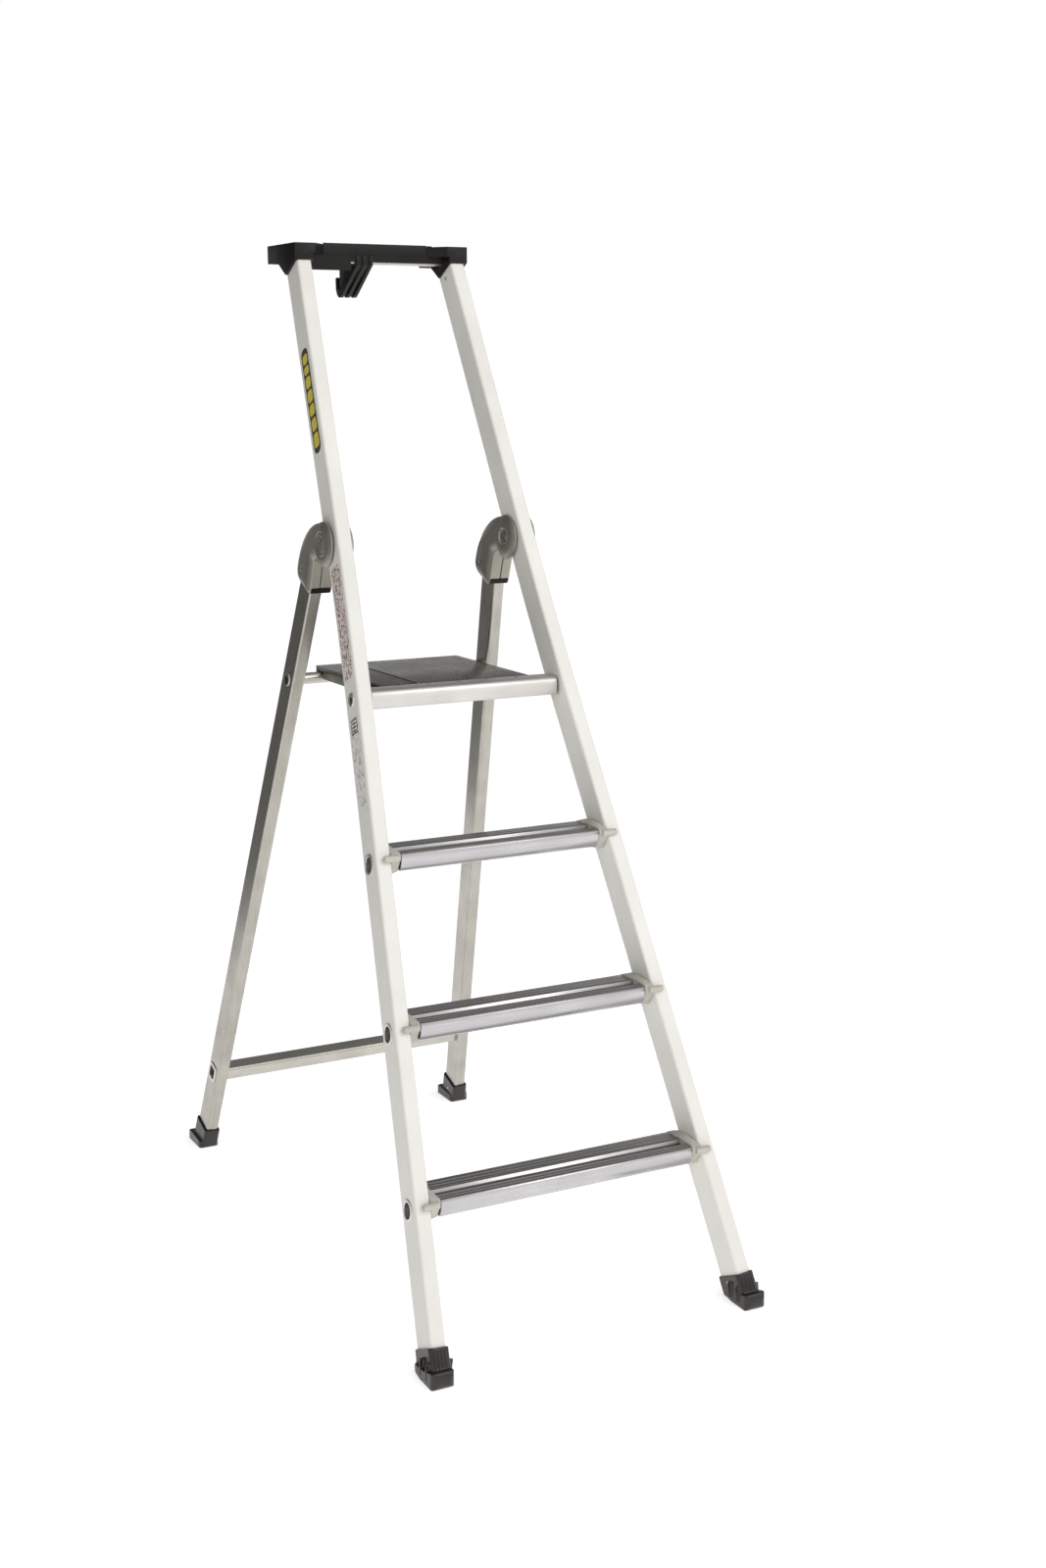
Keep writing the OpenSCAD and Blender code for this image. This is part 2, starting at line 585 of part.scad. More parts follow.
module rear_foot_rivets() {
  f = leg_floor(leg_offset);
  color("silver") rear() both() at_leg(f + 28) translate([-leg_w / 2 - shoe_wall, 0, 0])
    rotate([0, -90, 0]) cylinder(h = 1.3, r1 = 3, r2 = 2.2);
}

// ---------- platform ----------
deck_y1 = piv_y + deck_reach;
bar_y0 = piv_y - bar_d * 0.35;
bar_half = xi(piv_w) - 3.4;
deck_w = 2 * (xi(piv_w) - deck_gap);
module platform_deck() {
  hw = deck_w / 2;
  color("gray") world() difference() {
    union() {
      translate([-hw, bar_y0 + bar_d, plat_z - deck_t]) cube([deck_w, deck_y1 - bar_y0 - bar_d, deck_t]);
      for (m = [-hw, hw - deck_t]) translate([m, bar_y0 + bar_d, plat_z - flange_h])
        cube([deck_t, deck_y1 - bar_y0 - bar_d, flange_h]);
      translate([-hw, deck_y1 - deck_t, plat_z - flange_h * 0.7]) cube([deck_w, deck_t, flange_h * 0.7]);
      // one pressed stiffening rib near the left edge
      translate([-hw * 0.5 - 3, bar_y0 + bar_d, plat_z - e]) cube([6, deck_y1 - bar_y0 - bar_d, 1]);
    }
    both() translate([hw - deck_t - 20, 0, 0]) rest_notch(60);
  }
}
// where the rest tube leaves the platform when the ladder folds
module rest_notch(len) {
  r = rest_r + 0.4;
  xprism(0, len) polygon([
    [rest_y - r, rest_z + r], [rest_y + r, rest_z + r], [rest_y + r, rest_z - 40],
    [rest_y - r - 34, rest_z - 40], [rest_y - r, rest_z]]);
}
module platform_saddles() {
  color("black") world() both() difference() {
    xprism(deck_w / 2 - deck_t - 14, deck_w / 2 - deck_t) polygon([
      [rest_y - 24, plat_z - deck_t], [deck_y1 - deck_t, plat_z - deck_t],
      [deck_y1 - deck_t, plat_z - flange_h - 2], [deck_y1 - 6, plat_z - flange_h - 2],
      [rest_y - 24, plat_z - deck_t - 8]]);
    translate([deck_w / 2 - 40, 0, 0]) rest_notch(60);
  }
}
module platform_bar() {
  h = bar_h;
  d = bar_d;
  color("white") world() translate([0, bar_y0, plat_z - h]) xprism(-bar_half, bar_half) difference() {
    polygon([[1.5, 0], [d, 0], [d, h], [9, h], [5, h - 0.6], [2.4, h - 2.2], [0.8, h - 4.6],
             [0, h - 8], [0, 1.5], [0.5, 0.5]]);
    polygon([[2.5, 2.2], [d - 2, 2.2], [d - 2, h - 2.2], [9, h - 2.2], [5, h - 3.4], [2.6, h - 7]]);
  }
}
module platform_bar_plugs() {
  h = bar_h;
  d = bar_d;
  color("black") world() both() difference() {
    translate([0, bar_y0, plat_z - h]) {
      xprism(bar_half - 16, bar_half) polygon([[2.8, 2.5], [d - 2.3, 2.5], [d - 2.3, h - 2.5],
        [9, h - 2.5], [5.3, h - 3.8], [2.8, h - 7]]);
      xprism(bar_half, bar_half + 1) polygon([[1, 0.6], [d - 0.6, 0.6], [d - 0.6, h - 0.6], [8, h - 0.8],
        [4, h - 2.4], [1, h - 7]]);
    }
    translate([0, piv_y, piv_z]) xrod(bar_half - 30, bar_half + 10, 8.05);
  }
}
module platform_rivets() {
  color("silver") world() for (i = [-2:2]) translate([i * deck_w * 0.2, bar_y0 + bar_d * 0.75, plat_z])
    cylinder(h = 1.2, r1 = 4, r2 = 2.6);
}

stile(-1);  // stile_left
stile(1);  // stile_right
tread(1);  // tread_1
tread(2);  // tread_2
tread(3);  // tread_3
tread_caps(-1);  // tread_caps_left
tread_caps(1);  // tread_caps_right
tread_ferrules();
tool_tray();
bucket_hook();
top_rail();
tray_screws();
front_foot(-1);  // front_foot_left
front_foot(1);  // front_foot_right
front_foot_rivets();
platform_pivots();
hinge_bolts();
labels();
leg(-1);  // leg_left
leg(1);  // leg_right
crossbar_part();  // crossbar
crossbar_ferrules();
rest_tube();
hinge_shell(-1, true);  // hinge_shell_left_outer
hinge_shell(-1, false);  // hinge_shell_left_inner
hinge_shell(1, true);  // hinge_shell_right_outer
hinge_shell(1, false);  // hinge_shell_right_inner
hinge_plugs();
hinge_screws();
rear_foot(-1);  // rear_foot_left
rear_foot(1);  // rear_foot_right
rear_foot_rivets();
platform_deck();
platform_bar();
platform_bar_plugs();
platform_saddles();
platform_rivets();
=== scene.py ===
"""Looks of a folding platform step ladder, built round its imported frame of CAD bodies."""
import json
import logging
import math
from dataclasses import dataclass, field
from enum import Enum
from typing import Callable, Sequence

import bmesh
import bpy
from bmesh.types import BMEdge, BMesh, BMVert
from bpy.types import Mesh, Node, NodeSocket, NodeTree, Object
from mathutils import Matrix, Vector
from mathutils.bvhtree import BVHTree


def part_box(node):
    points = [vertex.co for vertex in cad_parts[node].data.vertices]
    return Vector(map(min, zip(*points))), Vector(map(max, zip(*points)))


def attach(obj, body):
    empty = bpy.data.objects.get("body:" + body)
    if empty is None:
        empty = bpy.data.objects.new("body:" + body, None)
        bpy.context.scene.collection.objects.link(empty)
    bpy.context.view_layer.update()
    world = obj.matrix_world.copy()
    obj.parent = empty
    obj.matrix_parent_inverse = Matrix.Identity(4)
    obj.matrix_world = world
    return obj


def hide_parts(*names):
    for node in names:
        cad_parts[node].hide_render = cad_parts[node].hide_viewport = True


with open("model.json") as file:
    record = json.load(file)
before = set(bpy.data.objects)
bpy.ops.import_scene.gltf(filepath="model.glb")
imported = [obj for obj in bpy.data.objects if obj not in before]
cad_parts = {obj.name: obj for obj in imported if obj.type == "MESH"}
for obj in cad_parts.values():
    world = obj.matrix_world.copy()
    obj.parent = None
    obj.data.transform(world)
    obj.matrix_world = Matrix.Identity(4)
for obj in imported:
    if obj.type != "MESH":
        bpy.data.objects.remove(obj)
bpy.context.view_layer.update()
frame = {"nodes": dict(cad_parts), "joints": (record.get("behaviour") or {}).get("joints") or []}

LOG = logging.getLogger("step_ladder")
MM = 0.001
# faces that meet at less than this are one face
FLAT = math.radians(1.0)
# the range of values that a noise pattern mostly stays in
NOISE_SPAN = (0.3, 0.7)
Colour = tuple[float, float, float, float]
Point = tuple[float, float, float]


class Body(Enum):
    """The three rigid bodies of the ladder."""

    FRONT = "front_frame"
    REAR = "rear_frame"
    PLATFORM = "platform"


def srgb(code: str) -> Colour:
    """Turns an sRGB hex value to a linear colour.

    Args:
        code: Six hex digits, with or without a leading hash.

    Returns:
        Linear red, green, blue and an alpha of one.
    """
    digits = code.lstrip("#")
    parts = [int(digits[i:i + 2], 16) / 255 for i in (0, 2, 4)]
    linear = [p / 12.92 if p <= 0.04045 else ((p + 0.055) / 1.055) ** 2.4 for p in parts]
    return (linear[0], linear[1], linear[2], 1.0)


def put(tree: NodeTree, kind: str, sockets: dict | None = None, **settings: object) -> Node:
    """Adds one node with its settings, its constants and its links.

    Args:
        tree: The tree that gets the node.
        kind: The node's type name.
        sockets: Input name or number to a constant, or to the output socket that feeds it.
        **settings: Properties of the node itself.

    Returns:
        The new node.
    """
    node = tree.nodes.new(kind)
    for key, value in settings.items():
        setattr(node, key, value)
    for key, value in (sockets or {}).items():
        if isinstance(value, NodeSocket):
            tree.links.new(value, node.inputs[key])
        else:
            node.inputs[key].default_value = value
    return node


def noise(tree: NodeTree, place: NodeSocket, scale: float, detail: float = 2.0) -> NodeSocket:
    """Adds a noise pattern and gives its value, 0 to 1."""
    return put(tree, "ShaderNodeTexNoise", {"Vector": place, "Scale": scale, "Detail": detail}).outputs["Fac"]


def maths(tree: NodeTree, operation: str, *numbers: NodeSocket | float) -> NodeSocket:
    """Adds one sum of two numbers and gives its result."""
    return put(tree, "ShaderNodeMath", dict(enumerate(numbers)), operation=operation).outputs[0]


def stretched(tree: NodeTree, place: NodeSocket, turn: Point, scale: Point) -> NodeSocket:
    """Turns the pattern's space and draws it out along its own axes."""
    return put(tree, "ShaderNodeMapping", {"Vector": place, "Rotation": turn, "Scale": scale},
               vector_type="TEXTURE").outputs["Vector"]


def ramp(tree: NodeTree, value: NodeSocket, source: tuple[float, float], target: tuple[float, float],
         smooth: bool = False) -> NodeSocket:
    """Maps one range of numbers to another, in a straight line or smoothly."""
    return put(tree, "ShaderNodeMapRange", {"Value": value, "From Min": source[0], "From Max": source[1],
                                            "To Min": target[0], "To Max": target[1]},
               interpolation_type="SMOOTHSTEP" if smooth else "LINEAR").outputs["Result"]


# ---------------------------------------------------------------- frames of reference


@dataclass(frozen=True)
class Axes:
    """How far the stiles and the legs lean from upright, and places measured along them."""

    front_lean: float = math.radians(25.3)
    rear_lean: float = math.radians(19.1)

    def joint_place(self, name: str) -> Vector:
        """Where a hinge's axis crosses the middle plane, in metres."""
        found = next(j for j in frame["joints"] if j["name"] == name)
        return Vector(found["pos_m"])

    def front(self, x: float, depth: float, up: float) -> Vector:
        """Turns a place on the front frame to the shared frame.

        Args:
            x: Across the ladder, in metres.
            depth: Behind the hinge line, square to the stiles, in metres.
            up: Along the stiles from the hinge line, in metres.

        Returns:
            The point in the shared frame.
        """
        pivot = self.joint_place("leg_hinge")
        s, c = math.sin(self.front_lean), math.cos(self.front_lean)
        return Vector((x, pivot.y + depth * c + up * s, pivot.z - depth * s + up * c))

    def rear(self, x: float, depth: float, up: float) -> Vector:
        """Turns a place on the rear frame to the shared frame.

        Args:
            x: Across the ladder, in metres.
            depth: Behind the hinge line, square to the legs, in metres.
            up: Along the legs from the hinge line, in metres.

        Returns:
            The point in the shared frame.
        """
        pivot = self.joint_place("leg_hinge")
        s, c = math.sin(self.rear_lean), math.cos(self.rear_lean)
        return Vector((x, pivot.y + depth * c - up * s, pivot.z + depth * s + up * c))


AXES = Axes()


# ---------------------------------------------------------------- finishes


@dataclass(frozen=True)
class Finish:
    """A surface finish. Each kind fills in the shader and its small relief."""

    name: str
    colour: str
    roughness: float
    # turn of the grain: the finish's own Z lies along the profile
    turn: Point = (0.0, 0.0, 0.0)
    edge_mm: float = 0.5

    def material(self) -> bpy.types.Material:
        """Builds the node material once and gives it back on later calls.

        Returns:
            The material that carries this finish.
        """
        found = bpy.data.materials.get(self.name)
        if found:
            return found
        made = bpy.data.materials.new(self.name)
        made.use_nodes = True
        tree = made.node_tree
        tree.nodes.clear()
        place = put(tree, "ShaderNodeTexCoord").outputs["Object"]
        shader = put(tree, "ShaderNodeBsdfPrincipled")
        out = put(tree, "ShaderNodeOutputMaterial")
        tree.links.new(shader.outputs["BSDF"], out.inputs["Surface"])
        self.dress(tree, shader, place)
        return made

    def dress(self, tree: NodeTree, shader: Node, place: NodeSocket) -> None:
        """Fills in the shader; each kind of finish has its own way."""
        raise NotImplementedError

    def coat(self, tree: NodeTree, shader: Node, tint: NodeSocket, dull: NodeSocket, colours: tuple[str, str],
             spread: tuple[float, float]) -> None:
        """Lets two patterns steer the colour and the roughness.

        Args:
            tree: The material's tree.
            shader: The surface shader.
            tint: Pattern, about 0.3 to 0.7, that mixes the colours.
            dull: Pattern, about 0.3 to 0.7, that steers the roughness.
            colours: sRGB hex colours at the tint's low and high end.
            spread: What the dull pattern's low and high end add to the roughness.
        """
        tree.links.new(colour_mix(tree, ramp(tree, tint, NOISE_SPAN, (0.0, 1.0)), *colours),
                       shader.inputs["Base Color"])
        tree.links.new(ramp(tree, dull, NOISE_SPAN, (self.roughness + spread[0], self.roughness + spread[1])),
                       shader.inputs["Roughness"])

    def relief(self, tree: NodeTree, shader: Node, height: NodeSocket, depth_mm: float) -> None:
        """Raises a height pattern over softly rounded edges.

        Args:
            tree: The material's tree.
            shader: The surface shader.
            height: The pattern, 0 to 1.
            depth_mm: How deep the pattern is, in millimetres.
        """
        soft = put(tree, "ShaderNodeBevel", {"Radius": self.edge_mm * MM}, samples=6)
        bump = put(tree, "ShaderNodeBump", {"Strength": 1.0, "Distance": depth_mm * MM, "Height": height,
                                            "Normal": soft.outputs["Normal"]})
        tree.links.new(bump.outputs["Normal"], shader.inputs["Normal"])


def colour_mix(tree: NodeTree, value: NodeSocket, low: str | NodeSocket, high: str) -> NodeSocket:
    """Mixes two sRGB hex colours, or a colour socket and one, by a pattern and gives the mixed colour."""
    mix = put(tree, "ShaderNodeMix", {0: value, 6: srgb(low) if isinstance(low, str) else low, 7: srgb(high)},
              data_type="RGBA")
    return mix.outputs[2]


@dataclass(frozen=True)
class PowderCoat(Finish):
    """Powder-coated aluminium: baked polyester, so an even, slightly orange-peeled satin white."""

    dark: str = "#D9D7D0"
    cloud_per_m: float = 9.0
    peel_mm: float = 1.6
    peel_depth_mm: float = 0.035

    def dress(self, tree: NodeTree, shader: Node, place: NodeSocket) -> None:
        """Sets a pale satin coat with orange peel and faint handling marks."""
        cloud = noise(tree, place, self.cloud_per_m, 3.0)
        self.coat(tree, shader, cloud, cloud, (self.dark, self.colour), (-0.05, 0.05))
        self.relief(tree, shader, noise(tree, place, 1 / (self.peel_mm * MM)), self.peel_depth_mm)


@dataclass(frozen=True)
class Extruded(Finish):
    """Mill-finish aluminium extrusion: fine die lines run along the profile, with dull oxide clouds."""

    dark: str = "#A9A8A5"
    line_mm: float = 0.7
    depth_mm: float = 0.02
    # how much longer than wide the die lines are
    draw: float = 60.0
    cloud_per_m: float = 14.0

    def dress(self, tree: NodeTree, shader: Node, place: NodeSocket) -> None:
        """Sets metal whose brightness and roughness vary in long die lines."""
        along = stretched(tree, place, self.turn, (1.0, 1.0, self.draw))
        lines = noise(tree, along, 1 / (self.line_mm * MM), 3.0)
        cloud = noise(tree, place, self.cloud_per_m, 4.0)
        both = maths(tree, "MULTIPLY", maths(tree, "ADD", lines, cloud), 0.5)
        shader.inputs["Metallic"].default_value = 1.0
        self.coat(tree, shader, both, both, (self.dark, self.colour), (0.06, -0.06))
        self.relief(tree, shader, lines, self.depth_mm)


@dataclass(frozen=True)
class DarkTopExtruded(Extruded):
    """Extruded aluminium with painted shade: the faces that look up are painted darker, standing for the dark
    reflection on the tread tops, while the rib flanks stay lighter.
    """

    # painted shade: the dark colour that is mixed onto the upward faces
    painted_shade_colour: str = "#8B8883"
    # how far up a face looks where the painted shade starts and where it is full, and how much it then covers
    shade_span: tuple[float, float] = (0.35, 0.85)
    shade_cover: float = 0.85

    def dress(self, tree: NodeTree, shader: Node, place: NodeSocket) -> None:
        """Sets the extruded metal, with painted shade darkening its upward faces."""
        super().dress(tree, shader, place)
        unshaded = shader.inputs["Base Color"].links[0].from_socket
        facing = put(tree, "ShaderNodeTexCoord").outputs["Normal"]
        parts = put(tree, "ShaderNodeSeparateXYZ", {"Vector": facing})
        # painted shade: the more a face looks up, the more it is mixed towards the dark colour
        upward = ramp(tree, parts.outputs["Z"], self.shade_span, (0.0, self.shade_cover))
        tree.links.new(colour_mix(tree, upward, unshaded, self.painted_shade_colour), shader.inputs["Base Color"])


@dataclass(frozen=True)
class CastMetal(Finish):
    """Die-cast hinge in grey metallic lacquer: fine flakes in an even, slightly grained film."""

    dark: str = "#55534D"
    flake_mm: float = 0.9
    flake_depth_mm: float = 0.05
    cloud_per_m: float = 30.0
    metallic: float = 0.75

    def dress(self, tree: NodeTree, shader: Node, place: NodeSocket) -> None:
        """Sets a grey flaked lacquer over cast metal."""
        flake = noise(tree, place, 1 / (self.flake_mm * MM))
        shader.inputs["Metallic"].default_value = self.metallic
        self.coat(tree, shader, flake, noise(tree, place, self.cloud_per_m, 3.0), (self.dark, self.colour),
                  (-0.06, 0.06))
        self.relief(tree, shader, flake, self.flake_depth_mm)


@dataclass(frozen=True)
class Moulded(Finish):
    """Injection-moulded plastic: fine spark-eroded grain and paler rubbed patches."""

    worn: str = "#35322E"
    grain_mm: float = 0.8
    depth_mm: float = 0.05
    cloud_per_m: float = 26.0
    gloss: float = 0.22

    def dress(self, tree: NodeTree, shader: Node, place: NodeSocket) -> None:
        """Sets a grained plastic with faint rubbed patches."""
        shader.inputs["Specular IOR Level"].default_value = self.gloss
        cloud = noise(tree, place, self.cloud_per_m, 5.0)
        self.coat(tree, shader, cloud, cloud, (self.colour, self.worn), (-0.05, 0.06))
        self.relief(tree, shader, noise(tree, place, 1 / (self.grain_mm * MM)), self.depth_mm)


@dataclass(frozen=True)
class PlatedSteel(Finish):
    """Zinc-plated steel or bright tube: slightly blue-grey metal with fine crystal mottling."""

    dark: str = "#8E8F90"
    mottle_per_m: float = 700.0
    mottle_depth_mm: float = 0.02

    def dress(self, tree: NodeTree, shader: Node, place: NodeSocket) -> None:
        """Sets bright plating with a fine mottle."""
        mottle = noise(tree, place, self.mottle_per_m, 3.0)
        shader.inputs["Metallic"].default_value = 1.0
        self.coat(tree, shader, mottle, mottle, (self.dark, self.colour), (-0.06, 0.08))
        self.relief(tree, shader, mottle, self.mottle_depth_mm)


@dataclass(frozen=True)
class Film(Finish):
    """Printed polyester film: smooth and thin, with rows of broken ink that stand for small print."""

    ink: str = "#1C1A17"
    row_mm: float = 2.6
    run_mm: float = 5.0
    # share of the film that the ink covers, and how soft the ink's edge is
    cover: float = 0.5
    blur: float = 0.04
    grain_mm: float = 2.0
    grain_depth_mm: float = 0.01

    def dress(self, tree: NodeTree, shader: Node, place: NodeSocket) -> None:
        """Sets smooth film with broken rows of ink along its length."""
        along = stretched(tree, place, self.turn, (1.0, self.row_mm * MM, self.run_mm * MM))
        blot = put(tree, "ShaderNodeTexNoise", {"Vector": along, "Scale": 1.0, "Detail": 3.0,
                                                "Roughness": 0.7}).outputs["Fac"]
        bare = 1.0 - self.cover
        inked = ramp(tree, blot, (bare - self.blur, bare + self.blur), (0.0, 1.0))
        tree.links.new(colour_mix(tree, inked, self.colour, self.ink), shader.inputs["Base Color"])
        shader.inputs["Roughness"].default_value = self.roughness
        self.relief(tree, shader, noise(tree, place, 1 / (self.grain_mm * MM)), self.grain_depth_mm)

# turns of the grain: along the legs, across the ladder and along the stiles
LEG_TURN = (AXES.rear_lean, 0.0, 0.0)
CROSS_TURN = (0.0, math.pi / 2, 0.0)
FRONT_TURN = (-AXES.front_lean, 0.0, 0.0)
# powder-coated tube: pale warm white, satin
STILE_WHITE = PowderCoat("powder_coated_stile_white", "#E4E2DC", 0.42, dark="#DAD8D1")
# mill-finish tube: plain grey metal with die lines along the leg
LEG_METAL = Extruded("mill_finish_leg_aluminium", "#C2BFB7", 0.32, LEG_TURN, dark="#9D9A92")
# mill-finish bar across the ladder: the same metal, lines across
CROSS_METAL = Extruded("mill_finish_cross_aluminium", "#CFCCC4", 0.3, CROSS_TURN, dark="#A8A59D")
# ribbed tread extrusion: cooler metal, its lines rubbed by feet; its upward faces carry painted shade
TREAD_METAL = DarkTopExtruded("ribbed_tread_aluminium", "#C6C4C6", 0.29, CROSS_TURN, dark="#B2B0B2", line_mm=1.6,
                      depth_mm=0.002)
# anodised platform bar: fine, even, bright satin
BAR_METAL = Extruded("anodised_bar_aluminium", "#DDDAD7", 0.45, CROSS_TURN, dark="#CBC8C4", depth_mm=0.01)
# embossed deck sheet: base colour darkened as painted shade, standing for the dark reflection on the deck
DECK_METAL = Extruded("embossed_deck_aluminium", "#807D75", 0.3, CROSS_TURN, dark="#65625B")
# dimple tops: the same sheet, coloured bright as a painted highlight on each dimple
DIMPLE_METAL = Extruded("painted_highlight_dimple_aluminium", "#E2DFD8", 0.25, CROSS_TURN, dark="#C9C6BF")
# drawn tube ends: bright where the rolling tool burnished them
BARE_METAL = PlatedSteel("drawn_tube_aluminium", "#E4E3DF", 0.34, dark="#BDBCB8")
# zinc plate: bright and slightly blue
ZINC = PlatedSteel("zinc_plated_steel", "#D4D5D5", 0.26)
# die-cast shells in warm grey metallic lacquer
HINGE_GREY = CastMetal("die_cast_hinge_grey", "#A6A399", 0.4, dark="#8E8B82", edge_mm=1.0)
# nylon end fittings: pale warm grey, fine matt grain
CAP_GREY = Moulded("moulded_nylon_cap_grey", "#C2C0B6", 0.42, worn="#B1AFA4", gloss=0.5)
# tray moulding: deep warm black, satin, fine grain
TRAY_BLACK = Moulded("moulded_polypropylene_tray_black", "#0E0D0B", 0.42, edge_mm=0.8, worn="#171512")
# small black trim: the same plastic, a little glossier
TRIM_BLACK = Moulded("moulded_nylon_trim_black", "#0C0B0A", 0.4, worn="#151412")
# shoe rubber: softer sheen, greyer where it has scuffed
SHOE_RUBBER = Moulded("moulded_shoe_rubber_black", "#181512", 0.3, edge_mm=1.0, worn="#241F1B", gloss=0.5)
# dark print carrier and bright yellow blocks of the upper sticker
STICKER_INK = Film("printed_sticker_black", "#1B1913", 0.3, FRONT_TURN, ink="#24211A", cover=0.5)
STICKER_YELLOW = Film("printed_sticker_yellow", "#D9C81E", 0.28, FRONT_TURN, ink="#CDB915", cover=0.5)
# clear film over the white coat with rows of red-brown print, too small to read
# rows are drawn about twice as coarse as real small print, so that they still show from a few metres
NOTICE_RED = Film("printed_notice_red", "#DEDAD4", 0.3, FRONT_TURN, ink="#83473D", row_mm=4.2, run_mm=5.2,
                  cover=0.48)
# pale film with dark print blocks
NOTICE_DARK = Film("printed_notice_pale", "#E0DEDA", 0.3, FRONT_TURN, ink="#5C5A56", row_mm=3.6, run_mm=9.0,
                   cover=0.42)


# ---------------------------------------------------------------- making pieces


def stood(name: str, data: bpy.types.ID) -> Object:
    """Makes an object that holds the data and links it to the scene."""
    thing = bpy.data.objects.new(name, data)
    bpy.context.scene.collection.objects.link(thing)
    return thing


def closed(work: BMesh, name: str) -> Mesh:
    """Writes the work mesh to a new plain mesh and frees it."""
    mesh = bpy.data.meshes.new(name)
    work.to_mesh(mesh)
    work.free()
    return mesh


def evaluated(trial: Object) -> Mesh:
    """Gives the mesh that an object's modifiers make, then clears and removes the object."""
    view = bpy.context.evaluated_depsgraph_get()
    mesh = bpy.data.meshes.new_from_object(trial.evaluated_get(view))
    trial.modifiers.clear()
    bpy.data.objects.remove(trial)
    return mesh


def finish_mesh(name: str, mesh: Mesh, finish: Finish, body: Body,
                replaced: Sequence[str] = (), smooth_deg: float = 35.0) -> Object:
    """Turns a finished mesh to a named piece that rides on a body.

    Args:
        name: The piece's name.
        mesh: Its mesh, already in place.
        finish: The finish it wears.
        body: The body it moves with.
        replaced: CAD nodes it stands for.
        smooth_deg: Edges sharper than this stay crisp.

    Returns:
        The new object.
    """
    mesh.name = name
    mesh.shade_smooth()
    mesh.set_sharp_from_angle(angle=math.radians(smooth_deg))
    piece = stood(name, mesh)
    mesh.materials.clear()
    mesh.materials.append(finish.material())
    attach(piece, body.value)
    if replaced:
        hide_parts(*replaced)
    LOG.info("%s: %d faces on %s", name, len(mesh.polygons), body.value)
    return piece


def softened(name: str, node: str, finish: Finish, body: Body, radius_mm: float,
             segments: int = 3, angle_deg: float = 30.0) -> Object:
    """Stands in for a CAD node with the same solid, its edges really rounded.

    Args:
        name: The new piece's name.
        node: The CAD node to copy.
        finish: The finish it wears.
        body: The body it moves with.
        radius_mm: Radius of the rounded edges.
        segments: Steps in each rounded edge.
        angle_deg: Edges sharper than this are rounded.

    Returns:
        The new object.
    """
    work = merged(node)
    bmesh.ops.dissolve_limit(work, angle_limit=FLAT, verts=work.verts, edges=work.edges)
    trial = stood(name + "_trial", closed(work, name))
    bevel = trial.modifiers.new("round", "BEVEL")
    bevel.width = radius_mm * MM
    bevel.segments = segments
    bevel.limit_method = "ANGLE"
    bevel.angle_limit = math.radians(angle_deg)
    bevel.harden_normals = False
    bevel.use_clamp_overlap = True
    return finish_mesh(name, evaluated(trial), finish, body, [node])


def melted(mesh: Mesh, voxel_mm: float, passes: int) -> Mesh:
    """Fuses a solid's overlapping bodies and softens all its edges, as a moulding or a casting is.

    Args:
        mesh: The closed solids.
        voxel_mm: Grain of the fused surface.
        passes: How often it is smoothed.

    Returns:
        The fused mesh.
    """
    trial = stood(mesh.name + "_trial", mesh)
    fuse = trial.modifiers.new("fuse", "REMESH")
    fuse.mode = "VOXEL"
    fuse.voxel_size = voxel_mm * MM
    calm = trial.modifiers.new("calm", "SMOOTH")
    calm.factor = 0.5
    calm.iterations = passes
    return evaluated(trial)


def moulding(name: str, node: str, finish: Finish, body: Body, voxel_mm: float = 1.2,
             passes: int = 5, toe_mm: float = 0.0) -> Object:
    """Stands in for a CAD node with the same solid, all its edges melted round.

    Args:
        name: The new piece's name.
        node: The CAD node to copy.
        finish: The finish it wears.
        body: The body it moves with.
        voxel_mm: Grain of the fused surface.
        passes: How often it is smoothed.
        toe_mm: Radius of the sole's corners, 0 to leave them as they are.

    Returns:
        The new object.
    """
    work = merged(node)
    if toe_mm:
        bmesh.ops.dissolve_limit(work, angle_limit=FLAT, verts=work.verts, edges=work.edges)
        # corners of the sole: convex, steep, and wholly in the shoe's lowest part
        sole_top = min(vert.co.z for vert in work.verts) + 45 * MM
        sharp, steep, shortest = math.radians(60), 0.55, 5 * MM
        corners = [edge for edge in work.edges if edge.is_manifold and edge.is_convex
                   and edge.calc_face_angle(0.0) > sharp
                   and max(vert.co.z for vert in edge.verts) < sole_top
                   and abs(edge.verts[0].co.z - edge.verts[1].co.z) > steep * edge.calc_length()
                   and edge.calc_length() > shortest]
        bmesh.ops.bevel(work, geom=corners, offset=toe_mm * MM, segments=6, profile=0.5, affect="EDGES",
                        clamp_overlap=True)
        LOG.info("%s: %d sole corners rounded", name, len(corners))
    return finish_mesh(name, melted(closed(work, name), voxel_mm, passes), finish, body, [node], 60.0)


